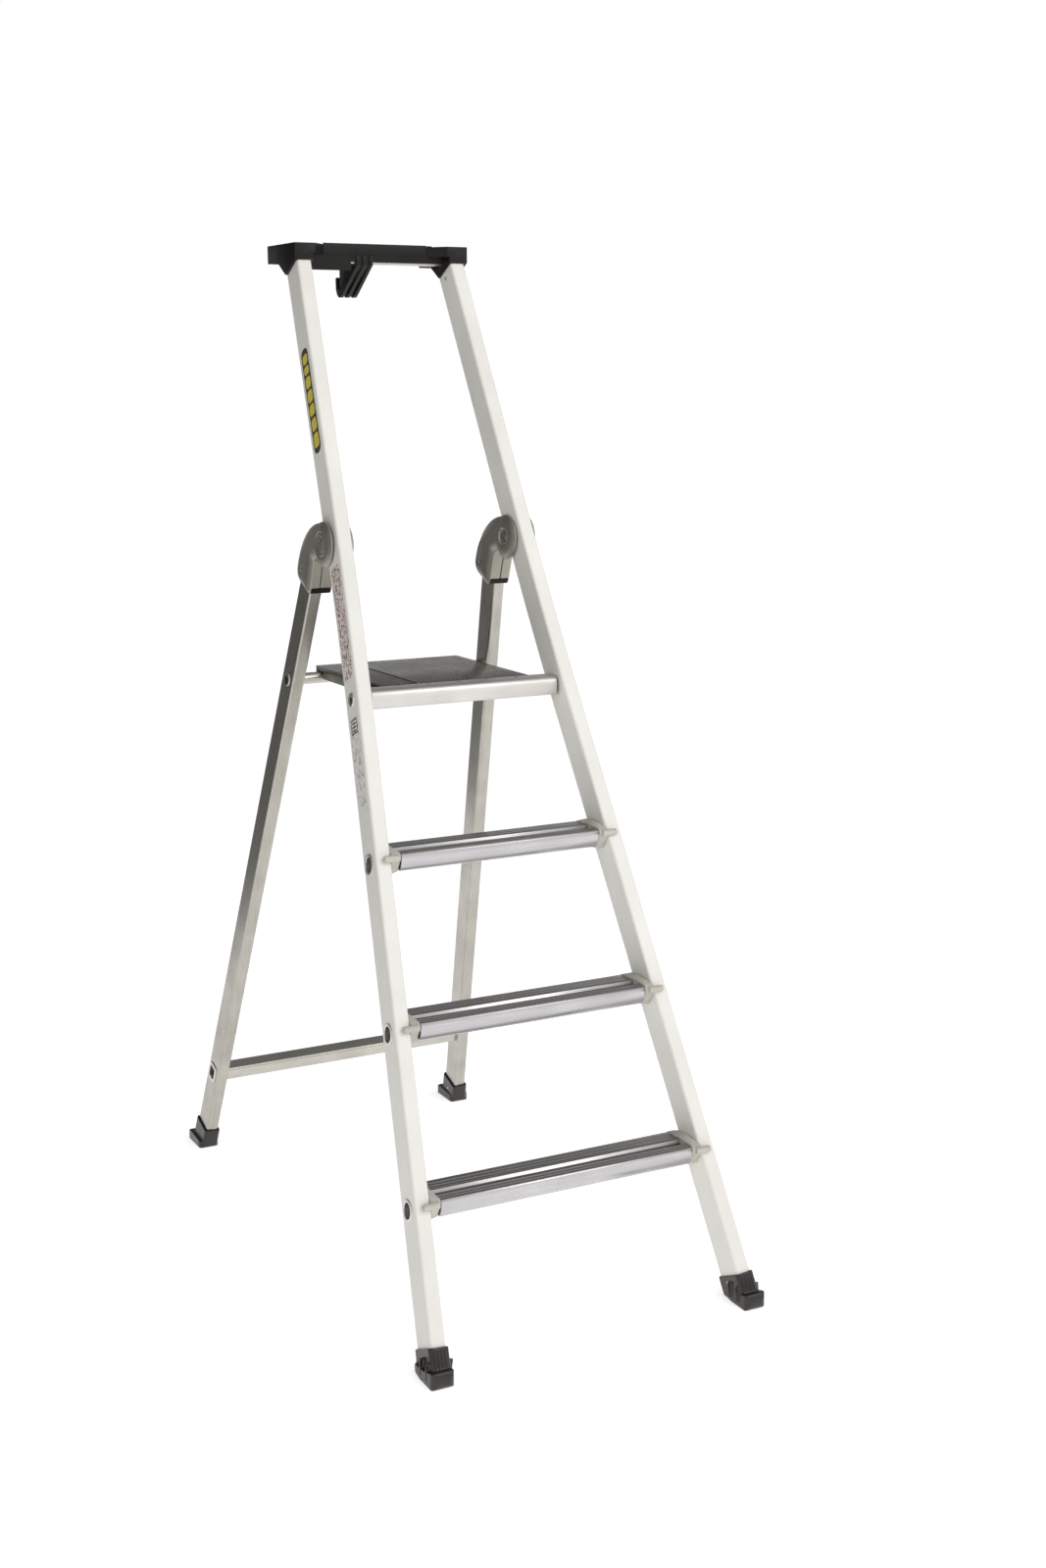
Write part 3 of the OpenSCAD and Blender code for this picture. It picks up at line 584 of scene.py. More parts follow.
@dataclass
class Tree:
    """A Geometry Nodes tree built in code, with named inputs."""

    name: str
    inputs: dict[str, tuple[str, object]] = field(default_factory=dict)
    seeded: bool = False

    def begin(self) -> tuple[NodeTree, Node]:
        """Makes the group with its inputs.

        Returns:
            The tree and its input node.
        """
        tree = bpy.data.node_groups.new(self.name, "GeometryNodeTree")
        for way in ("OUTPUT", "INPUT") if self.seeded else ("OUTPUT",):
            tree.interface.new_socket("Geometry", in_out=way, socket_type="NodeSocketGeometry")
        for label, (kind, value) in self.inputs.items():
            socket = tree.interface.new_socket(label, in_out="INPUT", socket_type=kind)
            socket.default_value = value
        return tree, put(tree, "NodeGroupInput")

    def end(self, tree: NodeTree, shape: NodeSocket, finish: Finish) -> None:
        """Realizes the instances, sets the material and closes the group.

        Args:
            tree: The tree under way.
            shape: The geometry so far.
            finish: The finish of the result.
        """
        real = put(tree, "GeometryNodeRealizeInstances", {"Geometry": shape})
        dressed = put(tree, "GeometryNodeSetMaterial", {"Geometry": real.outputs[0],
                                                        "Material": finish.material()})
        put(tree, "NodeGroupOutput", {"Geometry": dressed.outputs[0]})

    def grown(self, tree: NodeTree, values: dict[str, object], seed: Mesh | None = None) -> Mesh:
        """Runs the tree once on a carrier.

        Args:
            tree: The finished tree.
            values: Input name to value.
            seed: The points it grows on, if it needs any.

        Returns:
            The plain mesh that the tree makes.
        """
        carrier = stood(self.name + "_carrier", seed or bpy.data.meshes.new(self.name + "_seed"))
        modifier = carrier.modifiers.new("grow", "NODES")
        modifier.node_group = tree
        for item in tree.interface.items_tree:
            if getattr(item, "in_out", "") == "INPUT" and item.name in values:
                modifier[item.identifier] = values[item.name]
        carrier.update_tag()
        return evaluated(carrier)


def dress_node(node: str, finish: Finish) -> None:
    """Puts a finish on a CAD node whose shape is right as it is."""
    target = frame["nodes"][node]
    if not target.material_slots:
        target.data.materials.append(finish.material())
    for held in target.material_slots:
        held.material = finish.material()


def merged(node: str) -> BMesh:
    """Copies a CAD node's mesh with its loose triangles joined up."""
    work = bmesh.new()
    work.from_mesh(frame["nodes"][node].data)
    bmesh.ops.remove_doubles(work, verts=work.verts, dist=0.02 * MM)
    return work


def islands(node: str) -> list[list[Vector]]:
    """Lists the corner points of each loose solid of a CAD node.

    Args:
        node: The CAD node.

    Returns:
        One list of points for each solid.
    """
    work = merged(node)
    work.verts.index_update()
    seen: set[int] = set()
    groups: list[list[Vector]] = []
    for seed in work.verts:
        heap, group = [seed], []
        while heap:
            vert = heap.pop()
            if vert.index not in seen:
                seen.add(vert.index)
                group.append(vert.co.copy())
                heap.extend(edge.other_vert(vert) for edge in vert.link_edges)
        if group:
            groups.append(group)
    work.free()
    return sorted(groups, key=lambda g: (round(g[0].x, 3), round(g[0].z, 3)))


class Head(Enum):
    """The kinds of small fastener head on the ladder."""

    RIVET = "blind_rivet"
    SCREW = "cross_screw"


@dataclass
class Fasteners:
    """Small heads that stand where the CAD has plain ones."""

    name: str
    node: str
    body: Body
    kind: Head
    outward: Callable[[Vector], Vector]
    slot: str = "zinc_steel"

    def drill(self, tree: NodeTree, given: Node) -> NodeSocket:
        """Makes the shape that is cut out of the head: a round hole, or a cross.

        Args:
            tree: The tree under way.
            given: Its input node.

        Returns:
            The shape, in parts of the head's radius.
        """
        width, depth = given.outputs["Recess width"], given.outputs["Recess depth"]
        if self.kind is Head.RIVET:
            return put(tree, "GeometryNodeMeshCylinder", {"Vertices": 20, "Radius": width,
                                                          "Depth": depth}).outputs["Mesh"]
        long, thin = 1.1, 0.24
        cross = put(tree, "GeometryNodeMeshBoolean", operation="UNION")
        for x, y in ((long, thin), (thin, long)):
            size = put(tree, "ShaderNodeCombineXYZ", {"X": x, "Y": y, "Z": depth})
            slot = put(tree, "GeometryNodeMeshCube", {"Size": size.outputs[0]})
            tree.links.new(slot.outputs["Mesh"], cross.inputs["Mesh"])
        return cross.outputs["Mesh"]

    def grow(self, seed: Mesh) -> Mesh:
        """Sets one domed head with its recess on each point.

        Args:
            seed: Points with an axis and a size each.

        Returns:
            The mesh of all heads.
        """
        recipe = Tree(self.name, {"Recess width": ("NodeSocketFloat", 0.36),
                                  "Recess depth": ("NodeSocketFloat", 0.75)}, seeded=True)
        tree, given = recipe.begin()
        ball = put(tree, "GeometryNodeMeshUVSphere", {"Segments": 28, "Rings": 14, "Radius": 1.0})
        half = put(tree, "GeometryNodeMeshCube", {"Size": (2.4, 2.4, 2.0)})
        lifted = put(tree, "GeometryNodeTransform", {"Geometry": half.outputs["Mesh"],
                                                     "Translation": (0, 0, 1.0)})
        dome = put(tree, "GeometryNodeMeshBoolean", {"Mesh": ball.outputs["Mesh"]}, operation="INTERSECT")
        tree.links.new(lifted.outputs[0], dome.inputs["Mesh"])
        raised = put(tree, "GeometryNodeTransform", {"Geometry": self.drill(tree, given),
                                                     "Translation": (0, 0, 0.95)})
        cut = put(tree, "GeometryNodeMeshBoolean", {"Mesh 1": dome.outputs["Mesh"]}, operation="DIFFERENCE")
        tree.links.new(raised.outputs[0], cut.inputs["Mesh 2"])
        axis, size = (put(tree, "GeometryNodeInputNamedAttribute", {"Name": label},
                          data_type="FLOAT_VECTOR").outputs["Attribute"] for label in ("axis", "size"))
        turn = put(tree, "FunctionNodeAlignRotationToVector", {"Vector": axis}, axis="Z")
        set_out = put(tree, "GeometryNodeInstanceOnPoints", {
            "Points": given.outputs["Geometry"], "Instance": cut.outputs["Mesh"],
            "Rotation": turn.outputs["Rotation"], "Scale": size})
        recipe.end(tree, set_out.outputs[0], ZINC)
        return recipe.grown(tree, {}, seed)

    def build(self) -> Object:
        """Measures the CAD heads and grows the detailed ones in their places.

        Returns:
            The piece with every head.
        """
        spots: list[Vector] = []
        axes: list[Vector] = []
        sizes: list[Vector] = []
        for points in islands(self.node):
            middle = sum(points, Vector()) / len(points)
            axis = self.outward(middle).normalized()
            reach = [(p - middle).dot(axis) for p in points]
            radius = max(((p - middle) - axis * (p - middle).dot(axis)).length for p in points)
            spots.append(middle + axis * min(reach))
            axes.append(axis)
            sizes.append(Vector((radius, radius, (max(reach) - min(reach)))))
        seed = bpy.data.meshes.new(self.name + "_seed")
        seed.from_pydata([tuple(p) for p in spots], [], [])
        for label, rows in (("axis", axes), ("size", sizes)):
            held = seed.attributes.new(label, "FLOAT_VECTOR", "POINT")
            held.data.foreach_set("vector", [c for row in rows for c in row])
        return finish_mesh(self.name, self.grow(seed), ZINC, self.body, [self.node])


def to_middle(place: Vector) -> Vector:
    """Points across the ladder towards its middle plane."""
    return Vector((-math.copysign(1.0, place.x), 0.0, 0.0))


def upward(place: Vector) -> Vector:
    """Points up, wherever the place is."""
    return Vector((0.0, 0.0, 1.0))


def ribs(name: str, finish: Finish, body: Body, count: int, pitch: float,
         size: Point, place: Vector, turn: Matrix) -> Object:
    """Grows a row of half-round ribs on a moulding.

    Args:
        name: The piece's name.
        finish: Its finish.
        body: The body it moves with.
        count: How many ribs stand in the row.
        pitch: From one rib to the next, in metres.
        size: Width across the row, how far a rib stands proud, and its length.
        place: Middle of the row.
        turn: The row's turn: ribs run along its Z, side by side along its X.

    Returns:
        The piece with every rib.
    """
    recipe = Tree(name, {
        "Count": ("NodeSocketInt", count), "Pitch": ("NodeSocketFloat", pitch),
        "Width": ("NodeSocketFloat", size[0]), "Proud": ("NodeSocketFloat", size[1]),
        "Length": ("NodeSocketFloat", size[2]), "Place": ("NodeSocketVector", (0.0, 0.0, 0.0)),
        "Turn": ("NodeSocketVector", (0.0, 0.0, 0.0))})
    tree, given = recipe.begin()
    pitched = given.outputs["Pitch"]
    step = put(tree, "ShaderNodeCombineXYZ", {"X": pitched})
    span = maths(tree, "MULTIPLY", maths(tree, "SUBTRACT", given.outputs["Count"], 1.0), pitched)
    first = put(tree, "ShaderNodeCombineXYZ", {"X": maths(tree, "MULTIPLY", span, -0.5)})
    row = put(tree, "GeometryNodeMeshLine", {"Count": given.outputs["Count"], "Offset": step.outputs[0],
                                             "Start Location": first.outputs[0]})
    bar = put(tree, "GeometryNodeMeshUVSphere", {"Segments": 12, "Rings": 9, "Radius": 1.0})
    shape = put(tree, "ShaderNodeCombineXYZ", {
        "X": maths(tree, "MULTIPLY", given.outputs["Width"], 0.5), "Y": given.outputs["Proud"],
        "Z": maths(tree, "MULTIPLY", given.outputs["Length"], 0.5)})
    whole = put(tree, "GeometryNodeInstanceOnPoints", {"Points": row.outputs["Mesh"],
                                                       "Instance": bar.outputs["Mesh"],
                                                       "Scale": shape.outputs[0]})
    moved = put(tree, "GeometryNodeTransform", {"Geometry": whole.outputs[0],
                                                "Translation": given.outputs["Place"],
                                                "Rotation": given.outputs["Turn"]})
    recipe.end(tree, moved.outputs[0], finish)
    mesh = recipe.grown(tree, {"Place": tuple(place), "Turn": tuple(turn.to_euler("XYZ"))})
    return finish_mesh(name, mesh, finish, body)


# ---------------------------------------------------------------- sub-assemblies


@dataclass
class Stickers:
    """Films on the outer face of the left stile: plain blocks and rows, never lettering."""

    stile_depth: float = 53 * MM
    pivot_depth: float = 46 * MM

    def film(self, name: str, finish: Finish, middle: float, span: float, half: float, corner: float,
             lift: float, replaced: Sequence[str] = ()) -> Object:
        """Lays one rounded film on the stile, following its bends.

        Args:
            name: The piece's name.
            finish: Its print.
            middle: Its middle along the stile, from the hinge line, in metres.
            span: Its length along the stile.
            half: Half its width.
            corner: Radius of its corners.
            lift: How far its face stands off the stile.
            replaced: CAD nodes it stands for.

        Returns:
            The film.
        """
        stile = frame["nodes"]["stile_left"].data
        wall = BVHTree.FromPolygons([v.co.copy() for v in stile.vertices],
                                    [tuple(p.vertices) for p in stile.polygons])
        depth_mid = self.stile_depth / 2 - self.pivot_depth
        rows, columns = 60, 8
        work = bmesh.new()
        grid: list[list[BMVert]] = []
        for i in range(rows + 1):
            ease = (1 - math.cos(math.pi * i / rows)) / 2
            up = middle + span * (ease - 0.5)
            end = min(ease, 1 - ease) * span
            cut = corner - math.sqrt(max(corner ** 2 - (corner - end) ** 2, 0.0)) if end < corner else 0.0
            line = []
            for j in range(columns + 1):
                depth = depth_mid + (half - cut) * (2 * j / columns - 1)
                aim = AXES.front(-1.0, depth, up)
                hit = wall.ray_cast(aim, Vector((1.0, 0.0, 0.0)))[0]
                line.append(work.verts.new(hit - Vector((lift, 0.0, 0.0))))
            grid.append(line)
        for i in range(rows):
            for j in range(columns):
                work.faces.new((grid[i][j], grid[i + 1][j], grid[i + 1][j + 1], grid[i][j + 1]))
        bmesh.ops.remove_doubles(work, verts=work.verts, dist=1e-7)
        bmesh.ops.recalc_face_normals(work, faces=work.faces)
        rim = bmesh.ops.extrude_face_region(work, geom=list(work.faces))
        for item in rim["geom"]:
            if isinstance(item, BMVert):
                item.co.x += lift * 0.8
        bmesh.ops.recalc_face_normals(work, faces=work.faces)
        return finish_mesh(name, closed(work, name), finish, Body.FRONT, replaced)

    def build(self) -> None:
        """Lays the capsule with its yellow blocks and the two pale notices."""
        pivot = AXES.joint_place("leg_hinge")
        spots = [sum(group, Vector()) / len(group) for group in islands("labels")]
        ups = sorted((spot - pivot).dot(AXES.front(0, 0, 1.0) - pivot) for spot in spots)
        self.film("capsule_sticker", STICKER_INK, ups[1], 180 * MM, 14.6 * MM, 12 * MM, 0.2 * MM, ["labels"])
        # middle and length of each yellow block along the capsule
        blocks = ((-68, 24), (-41, 21), (-16, 19), (8, 20), (32, 19), (53, 14), (72, 16))
        for number, (place, length) in enumerate(blocks, 1):
            self.film(f"sticker_block_{number}", STICKER_YELLOW, ups[1] + place * MM, length * MM, 10.6 * MM,
                      5.5 * MM, 0.3 * MM)
        low_mid = ups[0] + 20 * MM
        panel = low_mid + 61 * MM
        self.film("lower_notice", NOTICE_DARK, low_mid, 150 * MM, 17 * MM, 3 * MM, 0.2 * MM)
        self.film("lower_notice_panel", STICKER_INK, panel, 24 * MM, 13 * MM, 2 * MM, 0.26 * MM)
        self.film("lower_notice_window", NOTICE_DARK, panel, 19 * MM, 10.6 * MM, 1.4 * MM, 0.32 * MM)
        for number, up in enumerate((66, 60, 54), 1):
            self.film(f"lower_notice_bar_{number}", STICKER_INK, low_mid + up * MM, 3 * MM, 7 * MM, 1 * MM,
                      0.38 * MM)
        self.film("upper_notice", NOTICE_RED, -138 * MM, 186 * MM, 18 * MM, 6 * MM, 0.15 * MM)


@dataclass
class FrontFrame:
    """Stiles, treads, fittings, pivots and stickers of the climbing side."""

    shoe_rib_pitch: float = 5.6 * MM
    shoe_rib_length: float = 34 * MM
    stile_flare: float = math.radians(4.8)

    def shoe_ribs(self, side: str) -> None:
        """Stands four ribs on the front of a shoe.

        Args:
            side: Left or right.
        """
        low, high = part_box(f"front_foot_{side}")
        sign = -1.0 if side == "left" else 1.0
        turn = Matrix.Rotation(-AXES.front_lean, 3, "X") @ Matrix.Rotation(-sign * self.stile_flare, 3, "Y")
        place = AXES.front((low[0] + high[0]) / 2, -49.4 * MM, -1302.2 * MM + 38 * MM)
        ribs(f"front_shoe_ribs_{side}", SHOE_RUBBER, Body.FRONT, 4, self.shoe_rib_pitch,
             (3.0 * MM, 1.5 * MM, self.shoe_rib_length), place, turn)

    def build(self) -> None:
        """Dresses the stiles, treads and pivots and adds their small parts."""
        for side in ("left", "right"):
            dress_node(f"stile_{side}", STILE_WHITE)
            moulding(f"tread_fittings_{side}", f"tread_caps_{side}", CAP_GREY, Body.FRONT,
                     voxel_mm=1.1, passes=3)
            moulding(f"front_shoe_{side}", f"front_foot_{side}", SHOE_RUBBER, Body.FRONT,
                     voxel_mm=1.2, passes=8, toe_mm=12.0)
            self.shoe_ribs(side)
        for number in (1, 2, 3):
            softened(f"tread_rounded_{number}", f"tread_{number}", TREAD_METAL, Body.FRONT,
                     radius_mm=0.5, segments=2, angle_deg=20.0)
        dress_node("tread_ferrules", BARE_METAL)
        dress_node("platform_pivots", BARE_METAL)
        dress_node("hinge_bolts", ZINC)
        Fasteners("tray_screw_heads", "tray_screws", Body.FRONT, Head.SCREW, to_middle).build()
        Fasteners("front_shoe_rivets", "front_foot_rivets", Body.FRONT, Head.RIVET, to_middle).build()
        Stickers().build()


@dataclass
class ToolTray:
    """Black tray over the stile tops, with its bucket hook and the rail under it."""

    def build(self) -> None:
        """Rounds the mouldings and dresses the rail."""
        softened("tray_moulding", "tool_tray", TRAY_BLACK, Body.FRONT, radius_mm=1.2)
        softened("hook_moulding", "bucket_hook", TRAY_BLACK, Body.FRONT, radius_mm=0.8)
        dress_node("top_rail", CROSS_METAL)


def dip(reach: float, radius: float, slope: float, deep: float) -> float:
    """Depth of a flat-floored dip at a distance from its middle; its wall is as wide as the slope."""
    return deep * min(max((radius - reach) / slope, 0.0), 1.0)


@dataclass
class HingeShell:
    """One half of a hinge: a sleeve on the leg with a domed cheek that carries the bolt."""

    side: str
    half: str
    thick: float = 8.0 * MM
    around: int = 240
    across: int = 56
    # middle of the cheek, behind and below the bolt, from which every rim point is in plain sight
    middle: tuple[float, float] = (40 * MM, -24 * MM)
    # heights over the cheek's flat back: where the sleeve is cut, where the cheek's wall starts and its rim
    sleeve_cut: float = 1.4 * MM
    wall_foot: float = 0.2 * MM
    rim_foot: float = 1.6 * MM
    rim_round: float = 1.2 * MM
    rim_rise: float = 1.0 * MM
    dome_reach: float = 17 * MM
    dome_rise: float = 5.5 * MM

    def crown(self, gap: float) -> float:
        """Height of the cheek over its flat back, by the distance in from its outline.

        Args:
            gap: Distance from the outline, in metres.

        Returns:
            The height in metres.
        """
        if gap < self.rim_round:
            return self.rim_foot + self.rim_rise * math.sqrt(max(1 - (1 - gap / self.rim_round) ** 2, 0.0))
        inner = min((gap - self.rim_round) / self.dome_reach, 1.0)
        return self.rim_foot + self.rim_rise + self.dome_rise * (1 - (1 - inner) ** 2)

    def sunk(self, depth: float, up: float) -> float:
        """How far the cheek is sunk at a place, for the bolt's seat, the grip recess and the screw.

        Args:
            depth: Behind the bolt, in metres.
            up: Above the bolt, in metres.

        Returns:
            The sunk depth in metres.
        """
        y, z = depth / MM, up / MM
        reach = math.hypot(y, z)
        seat = dip(reach, radius=9.6, slope=1.0, deep=3.6)
        screw = dip(math.hypot(y - 66, z + 72), radius=5.4, slope=1.0, deep=1.4)
        if self.half == "outer":
            groove = dip(abs(reach - 19.5), radius=2.2, slope=2.2, deep=2.0)
            dish = dip(reach, radius=17.5, slope=4.0, deep=1.2)
            return max(seat, groove, dish, screw) * MM
        bowl = dip(reach, radius=15.0, slope=1.6, deep=2.8)
        scoop = dip(math.hypot((y - 79) / 8.5, (z + 60) / 26), radius=1.2, slope=0.3, deep=3.8)
        return max(seat, bowl, scoop, screw) * MM

    def build(self) -> None:
        """Fuses the sleeve from the CAD solid with the crowned cheek and sets the bolt's seat ring in it."""
        node = f"hinge_shell_{self.side}_{self.half}"
        sign = -1.0 if self.side == "left" else 1.0
        pivot = AXES.joint_place("leg_hinge")
        to_local = Matrix.Rotation(-AXES.rear_lean, 3, "X")
        low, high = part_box(node)
        outer = self.half == "outer"
        far = max(abs(low[0]), abs(high[0])) if outer else min(abs(low[0]), abs(high[0]))
        back = sign * (far - self.thick if outer else far + self.thick)
        out = sign if outer else -sign
        work = merged(node)
        plane = Vector((back + out * self.sleeve_cut, 0.0, 0.0))
        cut = bmesh.ops.bisect_plane(work, geom=list(work.verts) + list(work.edges) + list(work.faces),
                                     plane_co=plane, plane_no=(out, 0.0, 0.0), clear_outer=True)
        rims = [item for item in cut["geom_cut"] if isinstance(item, BMEdge)]
        outline = self.longest(rims)
        bmesh.ops.triangle_fill(work, edges=rims, use_beauty=True)
        ring = self.resampled([tuple((to_local @ (point - pivot)).yz) for point in outline])
        self.cheek(work, ring, back, out)
        bmesh.ops.recalc_face_normals(work, faces=work.faces)
        whole = bmesh.new()
        whole.from_mesh(melted(closed(work, node), voxel_mm=0.9, passes=3))
        self.seat_ring(whole, back, out)
        finish_mesh(f"hinge_casting_{self.side}_{self.half}", closed(whole, node), HINGE_GREY, Body.REAR,
                    [node], 50.0)

    def longest(self, edges: Sequence[BMEdge]) -> list[Vector]:
        """Walks the cut's edges and gives the longest loop, which is the outline.

        Args:
            edges: The edges in the cut plane.

        Returns:
            The loop's points in order.
        """
        left = sorted(edges, key=lambda edge: [round(c, 6) for vert in edge.verts for c in vert.co])
        best: list[Vector] = []
        widest = 0.0
        while left:
            edge = left.pop()
            start, here = edge.verts
            loop = [start.co.copy()]
            while here is not start:
                loop.append(here.co.copy())
                following = [e for e in here.link_edges if e in left]
                if not following:
                    break
                left.remove(following[0])
                here = following[0].other_vert(here)
            length = sum((a - b).length for a, b in zip(loop, loop[1:] + loop[:1]))
            if length > widest:
                best, widest = loop, length
        return best

    def resampled(self, loop: Sequence[tuple[float, float]]) -> list[tuple[float, float]]:
        """Spaces the outline's points evenly.

        Args:
            loop: The outline's corners in order.

        Returns:
            Evenly spaced points round it.
        """
        spans = [math.dist(loop[i], loop[(i + 1) % len(loop)]) for i in range(len(loop))]
        total = sum(spans)
        ring: list[tuple[float, float]] = []
        index, passed = 0, 0.0
        for step in range(self.around):
            goal = total * step / self.around
            while passed + spans[index] < goal:
                passed += spans[index]
                index += 1
            share = (goal - passed) / spans[index]
            a, b = loop[index], loop[(index + 1) % len(loop)]
            ring.append((a[0] + (b[0] - a[0]) * share, a[1] + (b[1] - a[1]) * share))
        return ring

    def spot(self, back: float, out: float, depth: float, up: float, height: float) -> Vector:
        """Gives the place at a height over the cheek's flat back, in the shared frame."""
        point = AXES.rear(0.0, depth, up)
        return Vector((back + out * height, point.y, point.z))

    def cheek(self, work: BMesh, ring: Sequence[tuple[float, float]], back: float, out: float) -> None:
        """Adds the crowned cheek to the mesh under way.

        Args:
            work: The mesh that holds the sleeve.
            ring: Points of the outline about the bolt.
            back: X of the cheek's flat back.
            out: Which way it bulges.
        """
        coarse = ring[::2]
        pairs = list(zip(coarse, coarse[1:] + coarse[:1]))

        def gap_of(y: float, z: float) -> float:
            """Distance from a place to the outline."""
            best = 1.0
            for (ay, az), (by, bz) in pairs:
                dy, dz = by - ay, bz - az
                share = max(0.0, min(1.0, ((y - ay) * dy + (z - az) * dz) / (dy * dy + dz * dz)))
                best = min(best, math.hypot(y - ay - dy * share, z - az - dz * share))
            return best

        my, mz = self.middle
        deep_in = self.rim_round + self.dome_reach
        centre = work.verts.new(self.spot(back, out, my, mz, self.crown(deep_in) - self.sunk(my, mz)))
        loops: list[list[BMVert]] = []
        for step in range(1, self.across + 1):
            # the rings crowd towards the rim, where the crown curves most
            share = math.sin(math.pi / 2 * step / self.across) ** 1.1
            line = []
            for y, z in ring:
                py, pz = my + (y - my) * share, mz + (z - mz) * share
                gap = gap_of(py, pz) if step < self.across else 0.0
                line.append(work.verts.new(self.spot(back, out, py, pz, self.crown(gap) - self.sunk(py, pz))))
            loops.append(line)
        loops.append([work.verts.new(self.spot(back, out, y, z, self.wall_foot)) for y, z in ring])
        count = len(ring)
        for i in range(count):
            work.faces.new((centre, loops[0][i], loops[0][(i + 1) % count]))
        for inner, outer in zip(loops, loops[1:]):
            for i in range(count):
                j = (i + 1) % count
                work.faces.new((inner[i], outer[i], outer[j], inner[j]))
        work.faces.new(loops[-1])

    def seat_ring(self, work: BMesh, back: float, out: float) -> None:
        """Turns the crisp machined ring round the bolt's head.

        Args:
            work: The fused casting.
            back: X of the cheek's flat back.
            out: Which way the cheek bulges.
        """
        top = 7.0 * MM if self.half == "outer" else 5.6 * MM
        # radius and rise over the seat of each corner of the ring's section
        profile = ((8.3, -2.4), (8.3, 0.1), (8.8, 0.5), (10.2, 0.5), (10.8, 0.1), (10.8, -2.4))
        steps = 64
        rings = [[work.verts.new(self.spot(back, out, radius * MM * math.cos(2 * math.pi * k / steps),
                                           radius * MM * math.sin(2 * math.pi * k / steps), top + rise * MM))
                  for k in range(steps)] for radius, rise in profile]
        made = []
        for inner, outer in zip(rings, rings[1:] + rings[:1]):
            for k in range(steps):
                j = (k + 1) % steps
                made.append(work.faces.new((inner[k], outer[k], outer[j], inner[j])))
        bmesh.ops.recalc_face_normals(work, faces=made)


@dataclass
class RearFrame:
    """Legs, crossbar, rest tube, hinge shells and rear shoes."""

    hinge_mid: float = 0.0

    def from_cheek(self, place: Vector) -> Vector:
        """Points out of the hinge cheek that a screw sits in."""
        sign = math.copysign(1.0, place.x)
        return Vector((sign if abs(place.x) > self.hinge_mid else -sign, 0.0, 0.0))

    def build(self) -> None:
        """Dresses the tubes and builds the castings, shoes and small parts."""
        for side in ("left", "right"):
            dress_node(f"leg_{side}", LEG_METAL)
            moulding(f"rear_shoe_{side}", f"rear_foot_{side}", SHOE_RUBBER, Body.REAR,
                     voxel_mm=1.2, passes=8, toe_mm=10.0)
            for half in ("outer", "inner"):
                HingeShell(side, half).build()
        self.hinge_mid = (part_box("hinge_screws")[1][0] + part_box("hinge_shell_right_inner")[0][0]) / 2
        dress_node("crossbar", CROSS_METAL)
        dress_node("crossbar_ferrules", BARE_METAL)
        dress_node("rest_tube", CROSS_METAL)
        dress_node("hinge_plugs", TRIM_BLACK)
        Fasteners("hinge_screw_heads", "hinge_screws", Body.REAR, Head.SCREW, self.from_cheek).build()
        Fasteners("rear_shoe_rivets", "rear_foot_rivets", Body.REAR, Head.RIVET, to_middle).build()


@dataclass
class Platform:
    """Deck sheet with its raised dimples, the bar in front and the saddles behind."""

    pitch: float = 8.0 * MM
    margin: float = 10.0 * MM
    dimple_r: float = 1.7 * MM
    dimple_h: float = 0.6 * MM
    # middle of a dimple's height below the top of the deck's box
    foot_gap: float = 1.05 * MM

    def dimples(self) -> Object:
        """Grows the anti-slip dimples of the deck in rows.

        Returns:
            The piece with every dimple.
        """
        low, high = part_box("platform_deck")
        wide = (high[0] - low[0]) - 2 * self.margin
        deep = (high[1] - low[1]) - 2 * self.margin
        recipe = Tree("deck_dimples", {
            "Width": ("NodeSocketFloat", wide), "Depth": ("NodeSocketFloat", deep),
            "Across": ("NodeSocketInt", 10), "Along": ("NodeSocketInt", 10),
            "Radius": ("NodeSocketFloat", self.dimple_r), "Height": ("NodeSocketFloat", self.dimple_h),
            "Place": ("NodeSocketVector", (0.0, 0.0, 0.0))})
        tree, given = recipe.begin()
        grid = put(tree, "GeometryNodeMeshGrid", {
            "Size X": given.outputs["Width"], "Size Y": given.outputs["Depth"],
            "Vertices X": given.outputs["Across"], "Vertices Y": given.outputs["Along"]})
        radius = given.outputs["Radius"]
        bump = put(tree, "GeometryNodeMeshCone", {
            "Vertices": 10, "Radius Bottom": radius, "Radius Top": maths(tree, "MULTIPLY", radius, 0.45),
            "Depth": given.outputs["Height"]})
        rows = put(tree, "GeometryNodeInstanceOnPoints", {"Points": grid.outputs["Mesh"],
                                                          "Instance": bump.outputs["Mesh"]})
        moved = put(tree, "GeometryNodeTransform", {"Geometry": rows.outputs[0],
                                                    "Translation": given.outputs["Place"]})
        recipe.end(tree, moved.outputs[0], DIMPLE_METAL)
        mesh = recipe.grown(tree, {
            "Width": wide, "Depth": deep,
            "Across": round(wide / self.pitch) + 1, "Along": round(deep / self.pitch) + 1,
            "Place": ((low[0] + high[0]) / 2, (low[1] + high[1]) / 2, high[2] - self.foot_gap)})
        return finish_mesh("deck_dimples", mesh, DIMPLE_METAL, Body.PLATFORM)

    def build(self) -> None:
        """Dresses the deck and bar and adds the dimples."""
        softened("platform_deck_rounded", "platform_deck", DECK_METAL, Body.PLATFORM,
                 radius_mm=0.7, segments=2)
        softened("platform_bar_rounded", "platform_bar", BAR_METAL, Body.PLATFORM,
                 radius_mm=0.9)
        dress_node("platform_bar_plugs", TRIM_BLACK)
        softened("platform_saddle_blocks", "platform_saddles", TRIM_BLACK, Body.PLATFORM,
                 radius_mm=0.8)
        Fasteners("platform_rivet_heads", "platform_rivets", Body.PLATFORM, Head.RIVET, upward).build()
        self.dimples()


